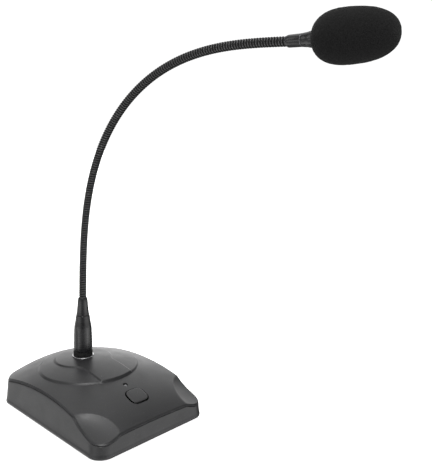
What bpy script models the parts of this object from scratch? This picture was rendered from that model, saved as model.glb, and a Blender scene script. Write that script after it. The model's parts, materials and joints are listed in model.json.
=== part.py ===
"""Desk microphone: a cast-weight base with a talk button, and a plug-in gooseneck that carries a capsule
under a foam windscreen.

Frame: metres, +Z up, origin at the centre of the base on the table. -Y is the front, where the button is.
The neck leaves the base upwards and bends over to the front, a few degrees towards +X.
"""

import math

import bmesh
import bpy
from mathutils import Matrix, Vector

MM = 0.001
GAP = 0.3 * MM

# Base housing
BASE_HALF_X = 66.7 * MM
BASE_HALF_Y = 85.1 * MM
CORNER_RADIUS = 14.7 * MM
DRAFT = math.tan(math.radians(4.0))
WALL = 2.5 * MM
FLOOR_Z = 0.8 * MM
FLOOR_TOP_Z = 3.8 * MM
BEAD_HEIGHT = 2.2 * MM
BEAD_DEPTH = 0.4 * MM
BEAD_FADE = 2.4 * MM
SEAM_DROP = 1.8 * MM
SEAM_GROOVE = 1.2 * MM
TONGUE_DEPTH = 2.5 * MM
TONGUE_WIDTH = 1.3 * MM

# Crown of the top shell: an arch along Y, less a bow across X that grows to the rear
CROWN_Z = 45.56 * MM
CROWN_Y = 18.44 * MM
ARCH_SQUARE = 2.0945
ARCH_FOURTH = 27.24
BOW = (8.867 * MM, 5.152 * MM, -1.937 * MM)
BOW_HALF_X = 63.5 * MM
BOW_HALF_Y = 90.0 * MM

# Scooped front corners: long flattened balls that cut a shallow dish in each
SCOOP_CENTRE = Vector((74.5 * MM, -295.2 * MM, 38.6 * MM))
SCOOP_RADII = (87.9 * MM, 255.8 * MM, 45.0 * MM)

# Raised disc on the crown, with a keyhole-shaped band that runs from the neck to the front
DISC_Y = 22.0 * MM
DISC_RADIUS = 51.4 * MM
DISC_STEP = 1.5 * MM
BAND_STEP = 2.5 * MM
BAND_HALF_X = 18.6 * MM
KEY_RADIUS = 29.3 * MM

# Neck socket and plug
COLUMN_Y = 32.7 * MM
SOCKET_FLOOR_Z = 27.5 * MM
SOCKET_TOP_Z = 48.2 * MM
SOCKET_OUTER_R = 11.2 * MM
SOCKET_BORE_R = 9.9 * MM
PLUG_R = 9.55 * MM
PLUG_BORE_R = 7.9 * MM
PIN_R = 1.2 * MM
PIN_CIRCLE_R = 4.1 * MM
PIN_ANGLES = (90.0, 210.0, 330.0)

# Gooseneck: its tangent leans from NECK_LEAN_START to NECK_LEAN_END by a smooth step
NECK_R = 3.85 * MM
NECK_BORE_R = 2.0 * MM
CABLE_R = 1.5 * MM
NECK_START_Z = 113.0 * MM
NECK_LENGTH = 387.5 * MM
NECK_LEAN_START = math.radians(1.25)
NECK_LEAN_END = math.radians(90.65)
NECK_EASE = 1.113
NECK_SWING = math.radians(6.93)
NECK_ROOT_Z = 80.0 * MM
FIRST_JOINT_S = 4.0 * MM
LAST_JOINT_S = 378.0 * MM
SEGMENTS = 7
CABLE_END = 1.0 * MM
INTEGRAL_STEPS = 96

# Head, measured along its axis from the foot of the collar
HEAD_LEAN = math.radians(88.4)
TIP_END = 11.0 * MM
COLLAR_START = 1.7 * MM
COLLAR_END = 13.3 * MM
TRIM_END = 14.1 * MM
CAPSULE_HOUSING_END = 61.0 * MM
CAPSULE_HOUSING_R = 6.2 * MM
FOAM_START = 23.3 * MM
FOAM_LENGTH = 63.0 * MM
FOAM_DIAMETER = 38.5 * MM
FOAM_POWER = 2.5
FOAM_TAPER = 0.1
FOAM_BORE_R = 6.5 * MM
FOAM_BORE_END = 64.0 * MM

# Talk button and light
BUTTON_Y = -56.0 * MM
BUTTON_HALF_X = 9.6 * MM
BUTTON_HALF_Y = 8.1 * MM
BUTTON_RADIUS = 5.8 * MM
BUTTON_GAP = 0.9 * MM
BUTTON_THICK = 3.0 * MM
BUTTON_STEM_Z = 28.2 * MM
LED_Y = -38.3 * MM
LED_R = 1.6 * MM
LED_HOLE_R = 2.5 * MM
LED_SINK = 0.5 * MM

# Insides of the base
BOARD_Z = 20.0 * MM
BOARD_THICK = 1.6 * MM
BOARD_HALF_X = 22.0 * MM
BOARD_Y = (-70.0 * MM, -28.0 * MM)
BOARD_SCREWS = {"left": (-17.5 * MM, -33.0 * MM), "right": (17.5 * MM, -66.0 * MM)}
CASE_SCREWS = {
    "front_left": (-34.0 * MM, -52.0 * MM),
    "front_right": (34.0 * MM, -52.0 * MM),
    "rear_left": (-44.0 * MM, 62.0 * MM),
    "rear_right": (44.0 * MM, 62.0 * MM),
}
CASE_SPLIT_Z = 12.0 * MM
POST_R = 5.0 * MM
HEAD_BORE_R = 3.6 * MM
HEAD_SEAT_Z = 4.3 * MM
SHAFT_BORE_R = 1.9 * MM
BOSS_R = 3.6 * MM
BOSS_BORE_R = 1.8 * MM
BOSS_ROOT = 1.9 * MM
BOARD_BOSS_R = 3.0 * MM
BOARD_BORE_R = 1.5 * MM
PAD_HALF_X = 58.0 * MM
PAD_HALF_Y = 76.0 * MM
PAD_RADIUS = 9.0 * MM
PAD_THICK = 1.6 * MM
WEIGHT_HALF_X = 52.0 * MM
WEIGHT_Y = (-46.0 * MM, 56.0 * MM)
WEIGHT_THICK = 6.0 * MM

# Output socket in the rear wall, square to the drafted wall
OUTLET_Z = 16.6 * MM
OUTLET_BORE_R = 9.6 * MM
OUTLET_BARREL_R = 10.9 * MM
OUTLET_DEPTH = 15.8 * MM
OUTLET_HALF_X = 15.0 * MM
OUTLET_HALF_Z = 11.5 * MM
OUTLET_FACE = 2.1 * MM
OUTLET_SCREW_BORE_R = 1.6 * MM
OUTLET_SCREWS = {"left": (-11.8 * MM, 8.7 * MM), "right": (11.8 * MM, -8.7 * MM)}

# Screws: head radius, head height, shaft radius, length
CASE_SCREW = (3.2 * MM, 2.2 * MM, 1.5 * MM, 17.0 * MM)
BOARD_SCREW = (2.6 * MM, 1.8 * MM, 1.2 * MM, 6.0 * MM)
FLANGE_SCREW = (2.4 * MM, 1.4 * MM, 1.25 * MM, 7.0 * MM)

NECK_SIDES = 12


# ---------------------------------------------------------------- surfaces of the base


def crown_z(x, y):
    """Height of the crown over a point of the plan, without its raised disc."""
    along = y - CROWN_Y
    arch = ARCH_SQUARE * along**2 + ARCH_FOURTH * along**4
    v = y / BOW_HALF_Y
    bow = (BOW[0] + BOW[1] * v + BOW[2] * v * v) * (x / BOW_HALF_X) ** 2
    return CROWN_Z - arch - bow


def scoop_z(x, y):
    """Underside of the nearer scoop ball, or far above the base where the ball doesn't reach."""
    along_x = (abs(x) - SCOOP_CENTRE.x) / SCOOP_RADII[0]
    along_y = (y - SCOOP_CENTRE.y) / SCOOP_RADII[1]
    inside = 1 - along_x**2 - along_y**2
    if inside <= 0:
        return 1.0
    return SCOOP_CENTRE.z - SCOOP_RADII[2] * math.sqrt(inside)


def surface_z(x, y):
    return min(crown_z(x, y), scoop_z(x, y))


def corner_arc(centre, radius, start, steps):
    """Points of a quarter circle, counterclockwise from the angle start."""
    angles = [start + math.pi / 2 * i / steps for i in range(steps + 1)]
    return [(centre[0] + radius * math.cos(a), centre[1] + radius * math.sin(a)) for a in angles]


def rounded_rectangle(half_x, half_y, radius, corner_steps=5, steps_x=1, steps_y=1):
    """Counterclockwise outline, with the straight sides cut into equal steps."""
    corners = (
        (half_x - radius, -half_y + radius, -math.pi / 2, steps_y),
        (half_x - radius, half_y - radius, 0.0, steps_x),
        (-half_x + radius, half_y - radius, math.pi / 2, steps_y),
        (-half_x + radius, -half_y + radius, math.pi, steps_x),
    )
    points = []
    for i, (cx, cy, start, steps) in enumerate(corners):
        arc = corner_arc((cx, cy), radius, start, corner_steps)
        nx, ny, next_start, _ = corners[(i + 1) % 4]
        after = corner_arc((nx, ny), radius, next_start, 1)[0]
        points += arc
        for k in range(1, steps):
            t = k / steps
            points.append((arc[-1][0] * (1 - t) + after[0] * t, arc[-1][1] * (1 - t) + after[1] * t))
    return points


def base_outline(inset):
    """The base's plan, drawn in by inset from its foot."""
    half_x, half_y = BASE_HALF_X - inset, BASE_HALF_Y - inset
    return rounded_rectangle(half_x, half_y, CORNER_RADIUS - inset, 4, steps_x=8, steps_y=10)


def drafted_ring(inset, height):
    """A ring of the wall: each point has height(x, y) and is drawn in by the wall's draft there."""
    ring = []
    for x, y in base_outline(inset):
        z = height(x, y)
        shrink_x = 1 - z * DRAFT / BASE_HALF_X
        shrink_y = 1 - z * DRAFT / BASE_HALF_Y
        ring.append(Vector((x * shrink_x, y * shrink_y, z)))
    return ring


def scaled_ring(ring, share, height):
    """The same ring shrunk towards the middle of the base, at height(x, y)."""
    points = [(p.x * share, p.y * share) for p in ring]
    return [Vector((x, y, height(x, y))) for x, y in points]


# ---------------------------------------------------------------- building meshes


def clear_scene():
    for obj in list(bpy.data.objects):
        bpy.data.objects.remove(obj, do_unlink=True)


def make_material(name, colour, roughness, metallic=0.0):
    material = bpy.data.materials.new(name)
    material.use_nodes = True
    shader = material.node_tree.nodes["Principled BSDF"]
    shader.inputs["Base Color"].default_value = (*colour, 1.0)
    shader.inputs["Roughness"].default_value = roughness
    shader.inputs["Metallic"].default_value = metallic
    return material


def add_mesh_object(name, bm, look, matrix=None, smooth=40.0):
    """Closes bm into an object. look is (colour, roughness, metallic)."""
    bmesh.ops.recalc_face_normals(bm, faces=bm.faces)
    mesh = bpy.data.meshes.new(name)
    bm.to_mesh(mesh)
    bm.free()
    mesh.shade_smooth()
    mesh.set_sharp_from_angle(angle=math.radians(smooth))
    mesh.materials.append(make_material(name, *look))
    obj = bpy.data.objects.new(name, mesh)
    bpy.context.scene.collection.objects.link(obj)
    if matrix is not None:
        obj.matrix_world = matrix
    return obj


def bridge_rings(bm, rings, closed=False):
    """Joins equal rings of points by quads. Without closed, the first and last ring are capped."""
    made = [[bm.verts.new(p) for p in ring] for ring in rings]
    pairs = list(zip(made, made[1:]))
    if closed:
        pairs.append((made[-1], made[0]))
    for low, high in pairs:
        count = len(low)
        for i in range(count):
            j = (i + 1) % count
            bm.faces.new((low[i], low[j], high[j], high[i]))
    if not closed:
        bm.faces.new(list(reversed(made[0])))
        bm.faces.new(made[-1])
    return made


def rings_mesh(rings, closed=False):
    bm = bmesh.new()
    bridge_rings(bm, rings, closed)
    return bm


def domed_rings_mesh(rings, first_pole, last_pole):
    """Rings joined by quads, with a fan of triangles to a pole at each end."""
    bm = bmesh.new()
    made = [[bm.verts.new(p) for p in ring] for ring in rings]
    for low, high in zip(made, made[1:]):
        for i in range(len(low)):
            j = (i + 1) % len(low)
            bm.faces.new((low[i], low[j], high[j], high[i]))
    for ring, pole in ((made[0], first_pole), (made[-1], last_pole)):
        centre = bm.verts.new(pole)
        for i in range(len(ring)):
            bm.faces.new((ring[i], ring[(i + 1) % len(ring)], centre))
    return bm


def circle(radius, z, sides):
    turn = 2 * math.pi / sides
    return [Vector((radius * math.cos(turn * i), radius * math.sin(turn * i), z)) for i in range(sides)]


def lathe(profile, sides, closed=False):
    """A turned solid about Z from (radius, z) pairs, capped at both ends or, for a ring, closed on itself."""
    return rings_mesh([circle(r, z, sides) for r, z in profile], closed)


def prism(outline, low, high):
    """A plate between two heights, or between height functions of x and y."""
    low_z = low if callable(low) else lambda x, y: low
    high_z = high if callable(high) else lambda x, y: high
    under = [Vector((x, y, low_z(x, y))) for x, y in outline]
    over = [Vector((x, y, high_z(x, y))) for x, y in outline]
    return rings_mesh([under, over])


def cutter(name, bm, matrix=None):
    obj = add_mesh_object(name, bm, ((0.5, 0.5, 0.5), 0.5), matrix)
    obj.hide_render = True
    obj.display_type = "WIRE"
    return obj


def boolean(obj, other, operation):
    modifier = obj.modifiers.new(other.name, "BOOLEAN")
    modifier.operation = operation
    modifier.solver = "EXACT"
    modifier.object = other


def cut(obj, name, bm, matrix=None):
    boolean(obj, cutter(name, bm, matrix), "DIFFERENCE")


def join(obj, name, bm, matrix=None):
    boolean(obj, cutter(name, bm, matrix), "UNION")


def at(x, y, z=0.0):
    return Matrix.Translation((x, y, z))


def axis_frame(origin, direction, side):
    """A frame whose +Z runs along direction and whose +X is side."""
    z = direction.normalized()
    y = z.cross(side).normalized()
    x = y.cross(z)
    rotation = Matrix((x, y, z)).transposed().to_4x4()
    return Matrix.Translation(origin) @ rotation


def pan_screw(name, look, size, matrix):
    """A screw whose shaft runs up +Z from under its head."""
    radius, head_height, shaft_radius, length = size
    profile = [
        (0.75 * radius, -head_height),
        (radius, -0.6 * head_height),
        (radius, 0.0),
        (shaft_radius, 0.0),
        (shaft_radius, length - shaft_radius),
        (0.35 * shaft_radius, length),
    ]
    return add_mesh_object(name, lathe(profile, 10), look, matrix)


# ---------------------------------------------------------------- looks

BLACK_SHELL = ((0.035, 0.035, 0.037), 0.42)
BLACK_METAL = ((0.02, 0.02, 0.022), 0.32, 0.6)
BLACK_RUBBER = ((0.015, 0.015, 0.015), 0.8)
BLACK_PLASTIC = ((0.025, 0.025, 0.026), 0.5)
STEEL = ((0.55, 0.55, 0.56), 0.35, 1.0)
DARK_STEEL = ((0.12, 0.12, 0.125), 0.5, 0.9)
GOLD = ((0.8, 0.6, 0.25), 0.25, 1.0)
BOARD_GREEN = ((0.02, 0.12, 0.05), 0.45)
FOAM = ((0.012, 0.012, 0.012), 0.95)
LED_GREY = ((0.2, 0.2, 0.21), 0.15)
NICKEL = ((0.5, 0.5, 0.5), 0.2, 1.0)


# ---------------------------------------------------------------- base


def lower_rim_z(x, y):
    return surface_z(x, y) - SEAM_DROP


def upper_rim_z(x, y):
    return lower_rim_z(x, y) + SEAM_GROOVE


def add_lower_shell():
    def level(z):
        return lambda x, y: z

    bead_top = FLOOR_Z + BEAD_HEIGHT
    rings = [
        drafted_ring(BEAD_DEPTH, level(FLOOR_Z)),
        drafted_ring(0.0, level(FLOOR_Z + BEAD_DEPTH)),
        drafted_ring(0.0, level(bead_top)),
        drafted_ring(BEAD_DEPTH, level(bead_top + BEAD_FADE)),
        drafted_ring(BEAD_DEPTH, lower_rim_z),
        drafted_ring(BEAD_DEPTH + WALL, lower_rim_z),
        drafted_ring(BEAD_DEPTH + WALL, level(FLOOR_TOP_Z)),
    ]
    shell = add_mesh_object("base_lower_shell", rings_mesh(rings), BLACK_SHELL)
    for place, (x, y) in CASE_SCREWS.items():
        post = lathe([(POST_R, FLOOR_TOP_Z - MM), (POST_R, CASE_SPLIT_Z)], 16)
        join(shell, f"post_{place}", post, at(x, y))
        bore = [(HEAD_BORE_R, -MM), (HEAD_BORE_R, HEAD_SEAT_Z)]
        bore += [(SHAFT_BORE_R, HEAD_SEAT_Z), (SHAFT_BORE_R, CASE_SPLIT_Z + MM)]
        cut(shell, f"post_bore_{place}", lathe(bore, 12), at(x, y))
    cut(shell, "pad_pocket", prism(pad_outline(GAP), -MM, PAD_THICK + GAP))
    hole = lathe([(OUTLET_BARREL_R + GAP, -8 * MM), (OUTLET_BARREL_R + GAP, 4 * MM)], 24)
    cut(shell, "outlet_hole", hole, outlet_frame())
    for side, (x, z) in OUTLET_SCREWS.items():
        bore = lathe([(OUTLET_SCREW_BORE_R, -8 * MM), (OUTLET_SCREW_BORE_R, 4 * MM)], 10)
        cut(shell, f"outlet_screw_bore_{side}", bore, outlet_frame() @ at(x, z))
    return shell


def keyhole_outline():
    """A circle round the neck that opens into a band to the disc's front edge."""
    open_angle = math.asin(BAND_HALF_X / KEY_RADIUS)
    sweep = 2 * (math.pi - open_angle)
    circle_steps = 22
    points = []
    for i in range(circle_steps + 1):
        angle = -math.pi / 2 + open_angle + sweep * i / circle_steps
        points.append((KEY_RADIUS * math.cos(angle), COLUMN_Y + KEY_RADIUS * math.sin(angle)))
    half = math.asin(BAND_HALF_X / DISC_RADIUS)
    front_steps = 6
    for i in range(front_steps + 1):
        angle = -math.pi / 2 - half + 2 * half * i / front_steps
        points.append((DISC_RADIUS * math.cos(angle), DISC_Y + DISC_RADIUS * math.sin(angle)))
    return points


def raised_plate(outline, centre, step):
    """A plate that follows the crown, step above it, and reaches into the shell below."""
    shares = (1.0, 0.6, 0.25)
    sunk = -1.2 * MM

    def ring(share, lift):
        middle = Vector(centre)
        points = [middle.lerp(Vector(p), share) for p in outline]
        return [Vector((p.x, p.y, crown_z(p.x, p.y) + lift)) for p in points]

    rings = [ring(s, sunk) for s in reversed(shares)] + [ring(s, step) for s in shares]
    low = Vector((*centre, crown_z(*centre) + sunk))
    high = Vector((*centre, crown_z(*centre) + step))
    return domed_rings_mesh(rings, low, high)


def add_top_shell():
    edge = drafted_ring(BEAD_DEPTH, crown_z)
    inside = drafted_ring(BEAD_DEPTH + WALL + GAP + TONGUE_WIDTH, lambda x, y: surface_z(x, y) - WALL)

    def underside(x, y):
        return surface_z(x, y) - WALL

    def tongue_z(x, y):
        return lower_rim_z(x, y) - TONGUE_DEPTH

    rings = [scaled_ring(edge, share, crown_z) for share in (0.2, 0.42, 0.62, 0.8, 0.94)]
    rings += [
        edge,
        drafted_ring(BEAD_DEPTH, upper_rim_z),
        drafted_ring(BEAD_DEPTH + WALL + GAP, upper_rim_z),
        drafted_ring(BEAD_DEPTH + WALL + GAP, tongue_z),
        drafted_ring(BEAD_DEPTH + WALL + GAP + TONGUE_WIDTH, tongue_z),
        inside,
    ]
    rings += [scaled_ring(inside, share, underside) for share in (0.85, 0.6, 0.3)]
    poles = Vector((0, 0, crown_z(0, 0))), Vector((0, 0, underside(0, 0)))
    shell = add_mesh_object("base_top_shell", domed_rings_mesh(rings, *poles), BLACK_SHELL)
    for side in (-1, 1):
        ball = bmesh.new()
        bmesh.ops.create_uvsphere(ball, u_segments=80, v_segments=50, radius=1.0)
        bmesh.ops.scale(ball, vec=SCOOP_RADII, verts=ball.verts)
        centre = at(side * SCOOP_CENTRE.x, SCOOP_CENTRE.y, SCOOP_CENTRE.z)
        cut(shell, f"scoop_ball_{side}", ball, centre)
    disc = [(p.x, p.y + DISC_Y) for p in circle(DISC_RADIUS, 0.0, 40)]
    join(shell, "raised_disc", raised_plate(disc, (0.0, DISC_Y), DISC_STEP))
    join(shell, "keyhole_band", raised_plate(keyhole_outline(), (0.0, COLUMN_Y), BAND_STEP))
    add_top_shell_bosses(shell)
    socket = lathe([(SOCKET_OUTER_R + GAP, 35 * MM), (SOCKET_OUTER_R + GAP, 60 * MM)], 24)
    cut(shell, "socket_hole", socket, at(0, COLUMN_Y))
    light = lathe([(LED_HOLE_R, 30 * MM), (LED_HOLE_R, 50 * MM)], 12)
    cut(shell, "led_hole", light, at(0, LED_Y))
    cut(shell, "button_hole", prism(button_outline(BUTTON_GAP), 22 * MM, 50 * MM), at(0, BUTTON_Y))
    return shell


def add_top_shell_bosses(shell):
    """Screw posts that hang from the crown: four for the case and two for the circuit board."""
    for place, (x, y) in CASE_SCREWS.items():
        top = crown_z(x, y) - BOSS_ROOT
        boss = lathe([(BOSS_R, CASE_SPLIT_Z + GAP), (BOSS_R, top)], 14)
        join(shell, f"boss_{place}", boss, at(x, y))
        bore = lathe([(BOSS_BORE_R, CASE_SPLIT_Z - MM), (BOSS_BORE_R, 2 * CASE_SPLIT_Z)], 10)
        cut(shell, f"boss_bore_{place}", bore, at(x, y))
    low = BOARD_Z + BOARD_THICK + GAP
    for side, (x, y) in BOARD_SCREWS.items():
        top = crown_z(x, y) - BOSS_ROOT
        boss = lathe([(BOARD_BOSS_R, low), (BOARD_BOSS_R, top)], 12)
        join(shell, f"board_boss_{side}", boss, at(x, y))
        bore = lathe([(BOARD_BORE_R, low - MM), (BOARD_BORE_R, low + 4.6 * MM)], 10)
        cut(shell, f"board_bore_{side}", bore, at(x, y))


def pad_outline(margin=0.0):
    return rounded_rectangle(PAD_HALF_X + margin, PAD_HALF_Y + margin, PAD_RADIUS + margin, 4)


def add_anti_slip_pad():
    """One sheet of rubber let into the underside, with a hole over each case screw."""
    pad = add_mesh_object("anti_slip_pad", prism(pad_outline(), 0.0, PAD_THICK), BLACK_RUBBER)
    for place, (x, y) in CASE_SCREWS.items():
        hole = lathe([(HEAD_BORE_R, -MM), (HEAD_BORE_R, PAD_THICK + MM)], 12)
        cut(pad, f"pad_hole_{place}", hole, at(x, y))
    return pad


def add_base_insides():
    parts = [add_anti_slip_pad()]
    plate = rounded_rectangle(WEIGHT_HALF_X, (WEIGHT_Y[1] - WEIGHT_Y[0]) / 2, 6 * MM, 3)
    low = FLOOR_TOP_Z + GAP
    middle = at(0, (WEIGHT_Y[0] + WEIGHT_Y[1]) / 2)
    parts.append(add_mesh_object("weight_plate", prism(plate, low, low + WEIGHT_THICK), DARK_STEEL, middle))
    for place, (x, y) in CASE_SCREWS.items():
        screw = pan_screw(f"case_screw_{place}", STEEL, CASE_SCREW, at(x, y, 4.0 * MM))
        parts.append(screw)
    return parts


def add_circuit():
    board_y = (BOARD_Y[0] + BOARD_Y[1]) / 2
    outline = rounded_rectangle(BOARD_HALF_X, (BOARD_Y[1] - BOARD_Y[0]) / 2, 1.5 * MM, 2)
    board = add_mesh_object(
        "circuit_board", prism(outline, BOARD_Z, BOARD_Z + BOARD_THICK), BOARD_GREEN, at(0, board_y)
    )
    parts = [board]
    for side, (x, y) in BOARD_SCREWS.items():
        hole = lathe([(BOARD_BORE_R, BOARD_Z - MM), (BOARD_BORE_R, BOARD_Z + 3 * MM)], 10)
        cut(board, f"board_hole_{side}", hole, at(x, y))
        place = at(x, y, BOARD_Z - GAP)
        parts.append(pan_screw(f"board_screw_{side}", STEEL, BOARD_SCREW, place))
    top = BOARD_Z + BOARD_THICK + GAP
    square = rounded_rectangle(4.2 * MM, 4.2 * MM, 0.6 * MM, 1)
    switch = prism(square, top, top + 4.5 * MM)
    parts.append(add_mesh_object("talk_switch_body", switch, BLACK_PLASTIC, at(0, BUTTON_Y)))
    led_top = crown_z(0, LED_Y) - LED_SINK
    lens = [(LED_R, top), (LED_R, led_top - 1.1 * MM)]
    lens += [(0.8 * LED_R, led_top - 0.4 * MM), (0.4 * LED_R, led_top)]
    parts.append(add_mesh_object("status_led", lathe(lens, 12), LED_GREY, at(0, LED_Y)))
    can = lathe([(3.8 * MM, top), (4.0 * MM, top + 0.5 * MM), (4.0 * MM, top + 9.5 * MM)], 14)
    parts.append(add_mesh_object("capacitor", can, DARK_STEEL, at(14 * MM, -38 * MM)))
    chip = prism(rounded_rectangle(5 * MM, 3 * MM, 0.4 * MM, 1), top, top + 2.5 * MM)
    parts.append(add_mesh_object("audio_driver_chip", chip, BLACK_PLASTIC, at(-12 * MM, -40 * MM)))
    return parts


def button_outline(margin=0.0):
    return rounded_rectangle(BUTTON_HALF_X + margin, BUTTON_HALF_Y + margin, BUTTON_RADIUS + margin, 5)


def add_button():
    """The cap, flush with the crown, on a stem over the switch. Its origin is on its line of travel."""

    def top(x, y):
        return crown_z(x, y + BUTTON_Y) + 0.2 * MM

    def under(x, y):
        return top(x, y) - BUTTON_THICK

    outline = button_outline()
    inner = [(0.93 * x, 0.92 * y) for x, y in outline]
    rings = [
        [Vector((x, y, under(x, y))) for x, y in outline],
        [Vector((x, y, top(x, y) - 0.5 * MM)) for x, y in outline],
        [Vector((x, y, top(x, y))) for x, y in inner],
    ]
    cap = add_mesh_object("button_cap", rings_mesh(rings), BLACK_SHELL, at(0, BUTTON_Y))
    stem = lathe([(1.6 * MM, BUTTON_STEM_Z), (1.6 * MM, under(0, 0) + MM)], 10)
    join(cap, "button_stem", stem, at(0, BUTTON_Y))
    return cap


def outlet_frame():
    """Local +Z points out of the rear wall, square to its draft; the origin is on the wall's face."""
    slope = math.atan(DRAFT)
    face_y = BASE_HALF_Y - BEAD_DEPTH - OUTLET_Z * DRAFT
    out = Vector((0, math.cos(slope), math.sin(slope)))
    return axis_frame(Vector((0, face_y, OUTLET_Z)), out, Vector((1, 0, 0)))


def pin_places():
    angles = [math.radians(a) for a in PIN_ANGLES]
    return [(PIN_CIRCLE_R * math.cos(a), PIN_CIRCLE_R * math.sin(a)) for a in angles]


def pin_mesh(low, high):
    """A contact pin with a rounded tip at the end named high."""
    tip = 0.9 * MM if high > low else -0.9 * MM
    return lathe([(PIN_R, low), (PIN_R, high - tip), (0.45 * PIN_R, high)], 10)


def add_output_socket():
    """Flanged shell, insulating insert and three contact pins for a cable plug."""
    frame = outlet_frame()
    plate = prism(rounded_rectangle(OUTLET_HALF_X, OUTLET_HALF_Z, 3 * MM, 3), GAP, OUTLET_FACE)
    shell = add_mesh_object("output_socket_shell", plate, BLACK_METAL, frame)
    join(shell, "outlet_barrel", lathe([(OUTLET_BARREL_R, -OUTLET_DEPTH), (OUTLET_BARREL_R, MM)], 24), frame)
    bore = lathe([(OUTLET_BORE_R, -OUTLET_DEPTH - MM), (OUTLET_BORE_R, 3 * MM)], 24)
    cut(shell, "outlet_bore", bore, frame)
    parts = [shell]
    insert_low, insert_high = -15.5 * MM, -10.5 * MM
    disc = lathe([(OUTLET_BORE_R - GAP, insert_low), (OUTLET_BORE_R - GAP, insert_high)], 24)
    insert = add_mesh_object("output_socket_insert", disc, BLACK_PLASTIC, frame)
    parts.append(insert)
    for number, (x, y) in enumerate(pin_places(), 1):
        hole = lathe([(PIN_R + GAP, insert_low - MM), (PIN_R + GAP, insert_high + MM)], 10)
        cut(insert, f"outlet_pin_hole_{number}", hole, frame @ at(x, y))
        pin = pin_mesh(-18.0 * MM, -5.0 * MM)
        parts.append(add_mesh_object(f"output_pin_{number}", pin, NICKEL, frame @ at(x, y)))
    for side, (x, z) in OUTLET_SCREWS.items():
        hole = lathe([(OUTLET_SCREW_BORE_R, -MM), (OUTLET_SCREW_BORE_R, 3 * MM)], 10)
        cut(shell, f"flange_hole_{side}", hole, frame @ at(x, z))
        place = frame @ at(x, z, OUTLET_FACE + GAP) @ Matrix.Rotation(math.pi, 4, "X")
        parts.append(pan_screw(f"socket_screw_{side}", DARK_STEEL, FLANGE_SCREW, place))
    return parts


def add_neck_socket():
    """Cup in the crown with an insert of three contact holes, which the neck's plug goes into."""
    floor = SOCKET_FLOOR_Z + 2 * MM
    cup = [
        (SOCKET_OUTER_R, SOCKET_FLOOR_Z),
        (SOCKET_OUTER_R, SOCKET_TOP_Z - 0.3 * MM),
        (SOCKET_OUTER_R - 0.3 * MM, SOCKET_TOP_Z),
        (SOCKET_BORE_R, SOCKET_TOP_Z),
        (SOCKET_BORE_R, floor),
    ]
    parts = [add_mesh_object("neck_socket_cup", lathe(cup, 24), BLACK_METAL, at(0, COLUMN_Y))]
    insert_top = 45.8 * MM
    body = lathe([(7.5 * MM, floor + GAP), (7.5 * MM, insert_top)], 20)
    insert = add_mesh_object("neck_socket_insert", body, BLACK_PLASTIC, at(0, COLUMN_Y))
    for number, (x, y) in enumerate(pin_places(), 1):
        hole = lathe([(PIN_R + GAP, 33 * MM), (PIN_R + GAP, insert_top + MM)], 10)
        cut(insert, f"socket_contact_{number}", hole, at(x, y + COLUMN_Y))
    parts.append(insert)
    return parts


# ---------------------------------------------------------------- neck


def lean_at(s):
    """The neck's lean from upright, s along its centreline."""
    share = min(max(s / NECK_LENGTH, 0.0), 1.0) ** NECK_EASE
    return NECK_LEAN_START + (NECK_LEAN_END - NECK_LEAN_START) * share * share * (3 - 2 * share)


def neck_directions(lean):
    """Tangent and upper side of the neck where it leans by lean."""
    forward = Vector((math.sin(NECK_SWING), -math.cos(NECK_SWING), 0))
    up = Vector((0, 0, 1))
    tangent = forward * math.sin(lean) + up * math.cos(lean)
    side = up * math.sin(lean) - forward * math.cos(lean)
    return tangent, side


def neck_point(s):
    """A point of the centreline, by summing tangents from where it leaves the sleeve."""
    start = Vector((0, COLUMN_Y, NECK_START_Z))
    if s <= 0:
        return start + Vector((0, 0, s))
    along = min(s, NECK_LENGTH)
    step = along / INTEGRAL_STEPS
    total = Vector((0, 0, 0))
    for i in range(INTEGRAL_STEPS):
        total += neck_directions(lean_at((i + 0.5) * step))[0] * step
    return start + total + neck_directions(HEAD_LEAN)[0] * (s - along)


def neck_frame(s):
    """A frame on the centreline: +Z along the neck, +X to the neck's upper side."""
    lean = 0.0 if s <= 0 else (HEAD_LEAN if s > NECK_LENGTH else lean_at(s))
    tangent, side = neck_directions(lean)
    return axis_frame(neck_point(s), tangent, side)


def joint_stations():
    span = (LAST_JOINT_S - FIRST_JOINT_S) / SEGMENTS
    return [FIRST_JOINT_S + span * i for i in range(SEGMENTS + 1)]


def ring_on_neck(s, radius, sides):
    frame = neck_frame(s)
    return [frame @ p for p in circle(radius, 0.0, sides)]


def neck_tube(start, end, round_start, round_end):
    """Hollow length of neck. A rounded end stops short of the joint so that its neighbour can turn."""
    clear = NECK_R + 0.5 * GAP
    steps = max(1, round((end - start) / (15 * MM)))
    low, high = start + clear * round_start, end - clear * round_end
    outside = [(low + (high - low) * i / steps, NECK_R) for i in range(steps + 1)]
    bore = [(s, NECK_BORE_R) for s, _ in outside]
    rounding = ((0.71 * NECK_R, 0.71 * NECK_R), (0.84 * NECK_R, 0.56 * NECK_R))
    if round_start:
        outside = [(low - rise, r) for rise, r in reversed(rounding)] + outside
        bore[0] = (low - rounding[-1][0], NECK_BORE_R)
    if round_end:
        outside += [(high + rise, r) for rise, r in rounding]
        bore[-1] = (high + rounding[-1][0], NECK_BORE_R)
    loop = outside + bore[::-1]
    return rings_mesh([ring_on_neck(s, r, NECK_SIDES) for s, r in loop], closed=True)


def add_neck_piece(name, mesh, look, joint_s):
    """Places a mesh made in world space on an origin at its joint."""
    origin = at(*neck_point(joint_s))
    mesh.transform(origin.inverted())
    return add_mesh_object(name, mesh, look, origin)


def cable_mesh(start, end):
    steps = max(1, round((end - start) / (16 * MM)))
    places = [start + (end - start) * i / steps for i in range(steps + 1)]
    return rings_mesh([ring_on_neck(s, CABLE_R, 8) for s in places])


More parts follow.
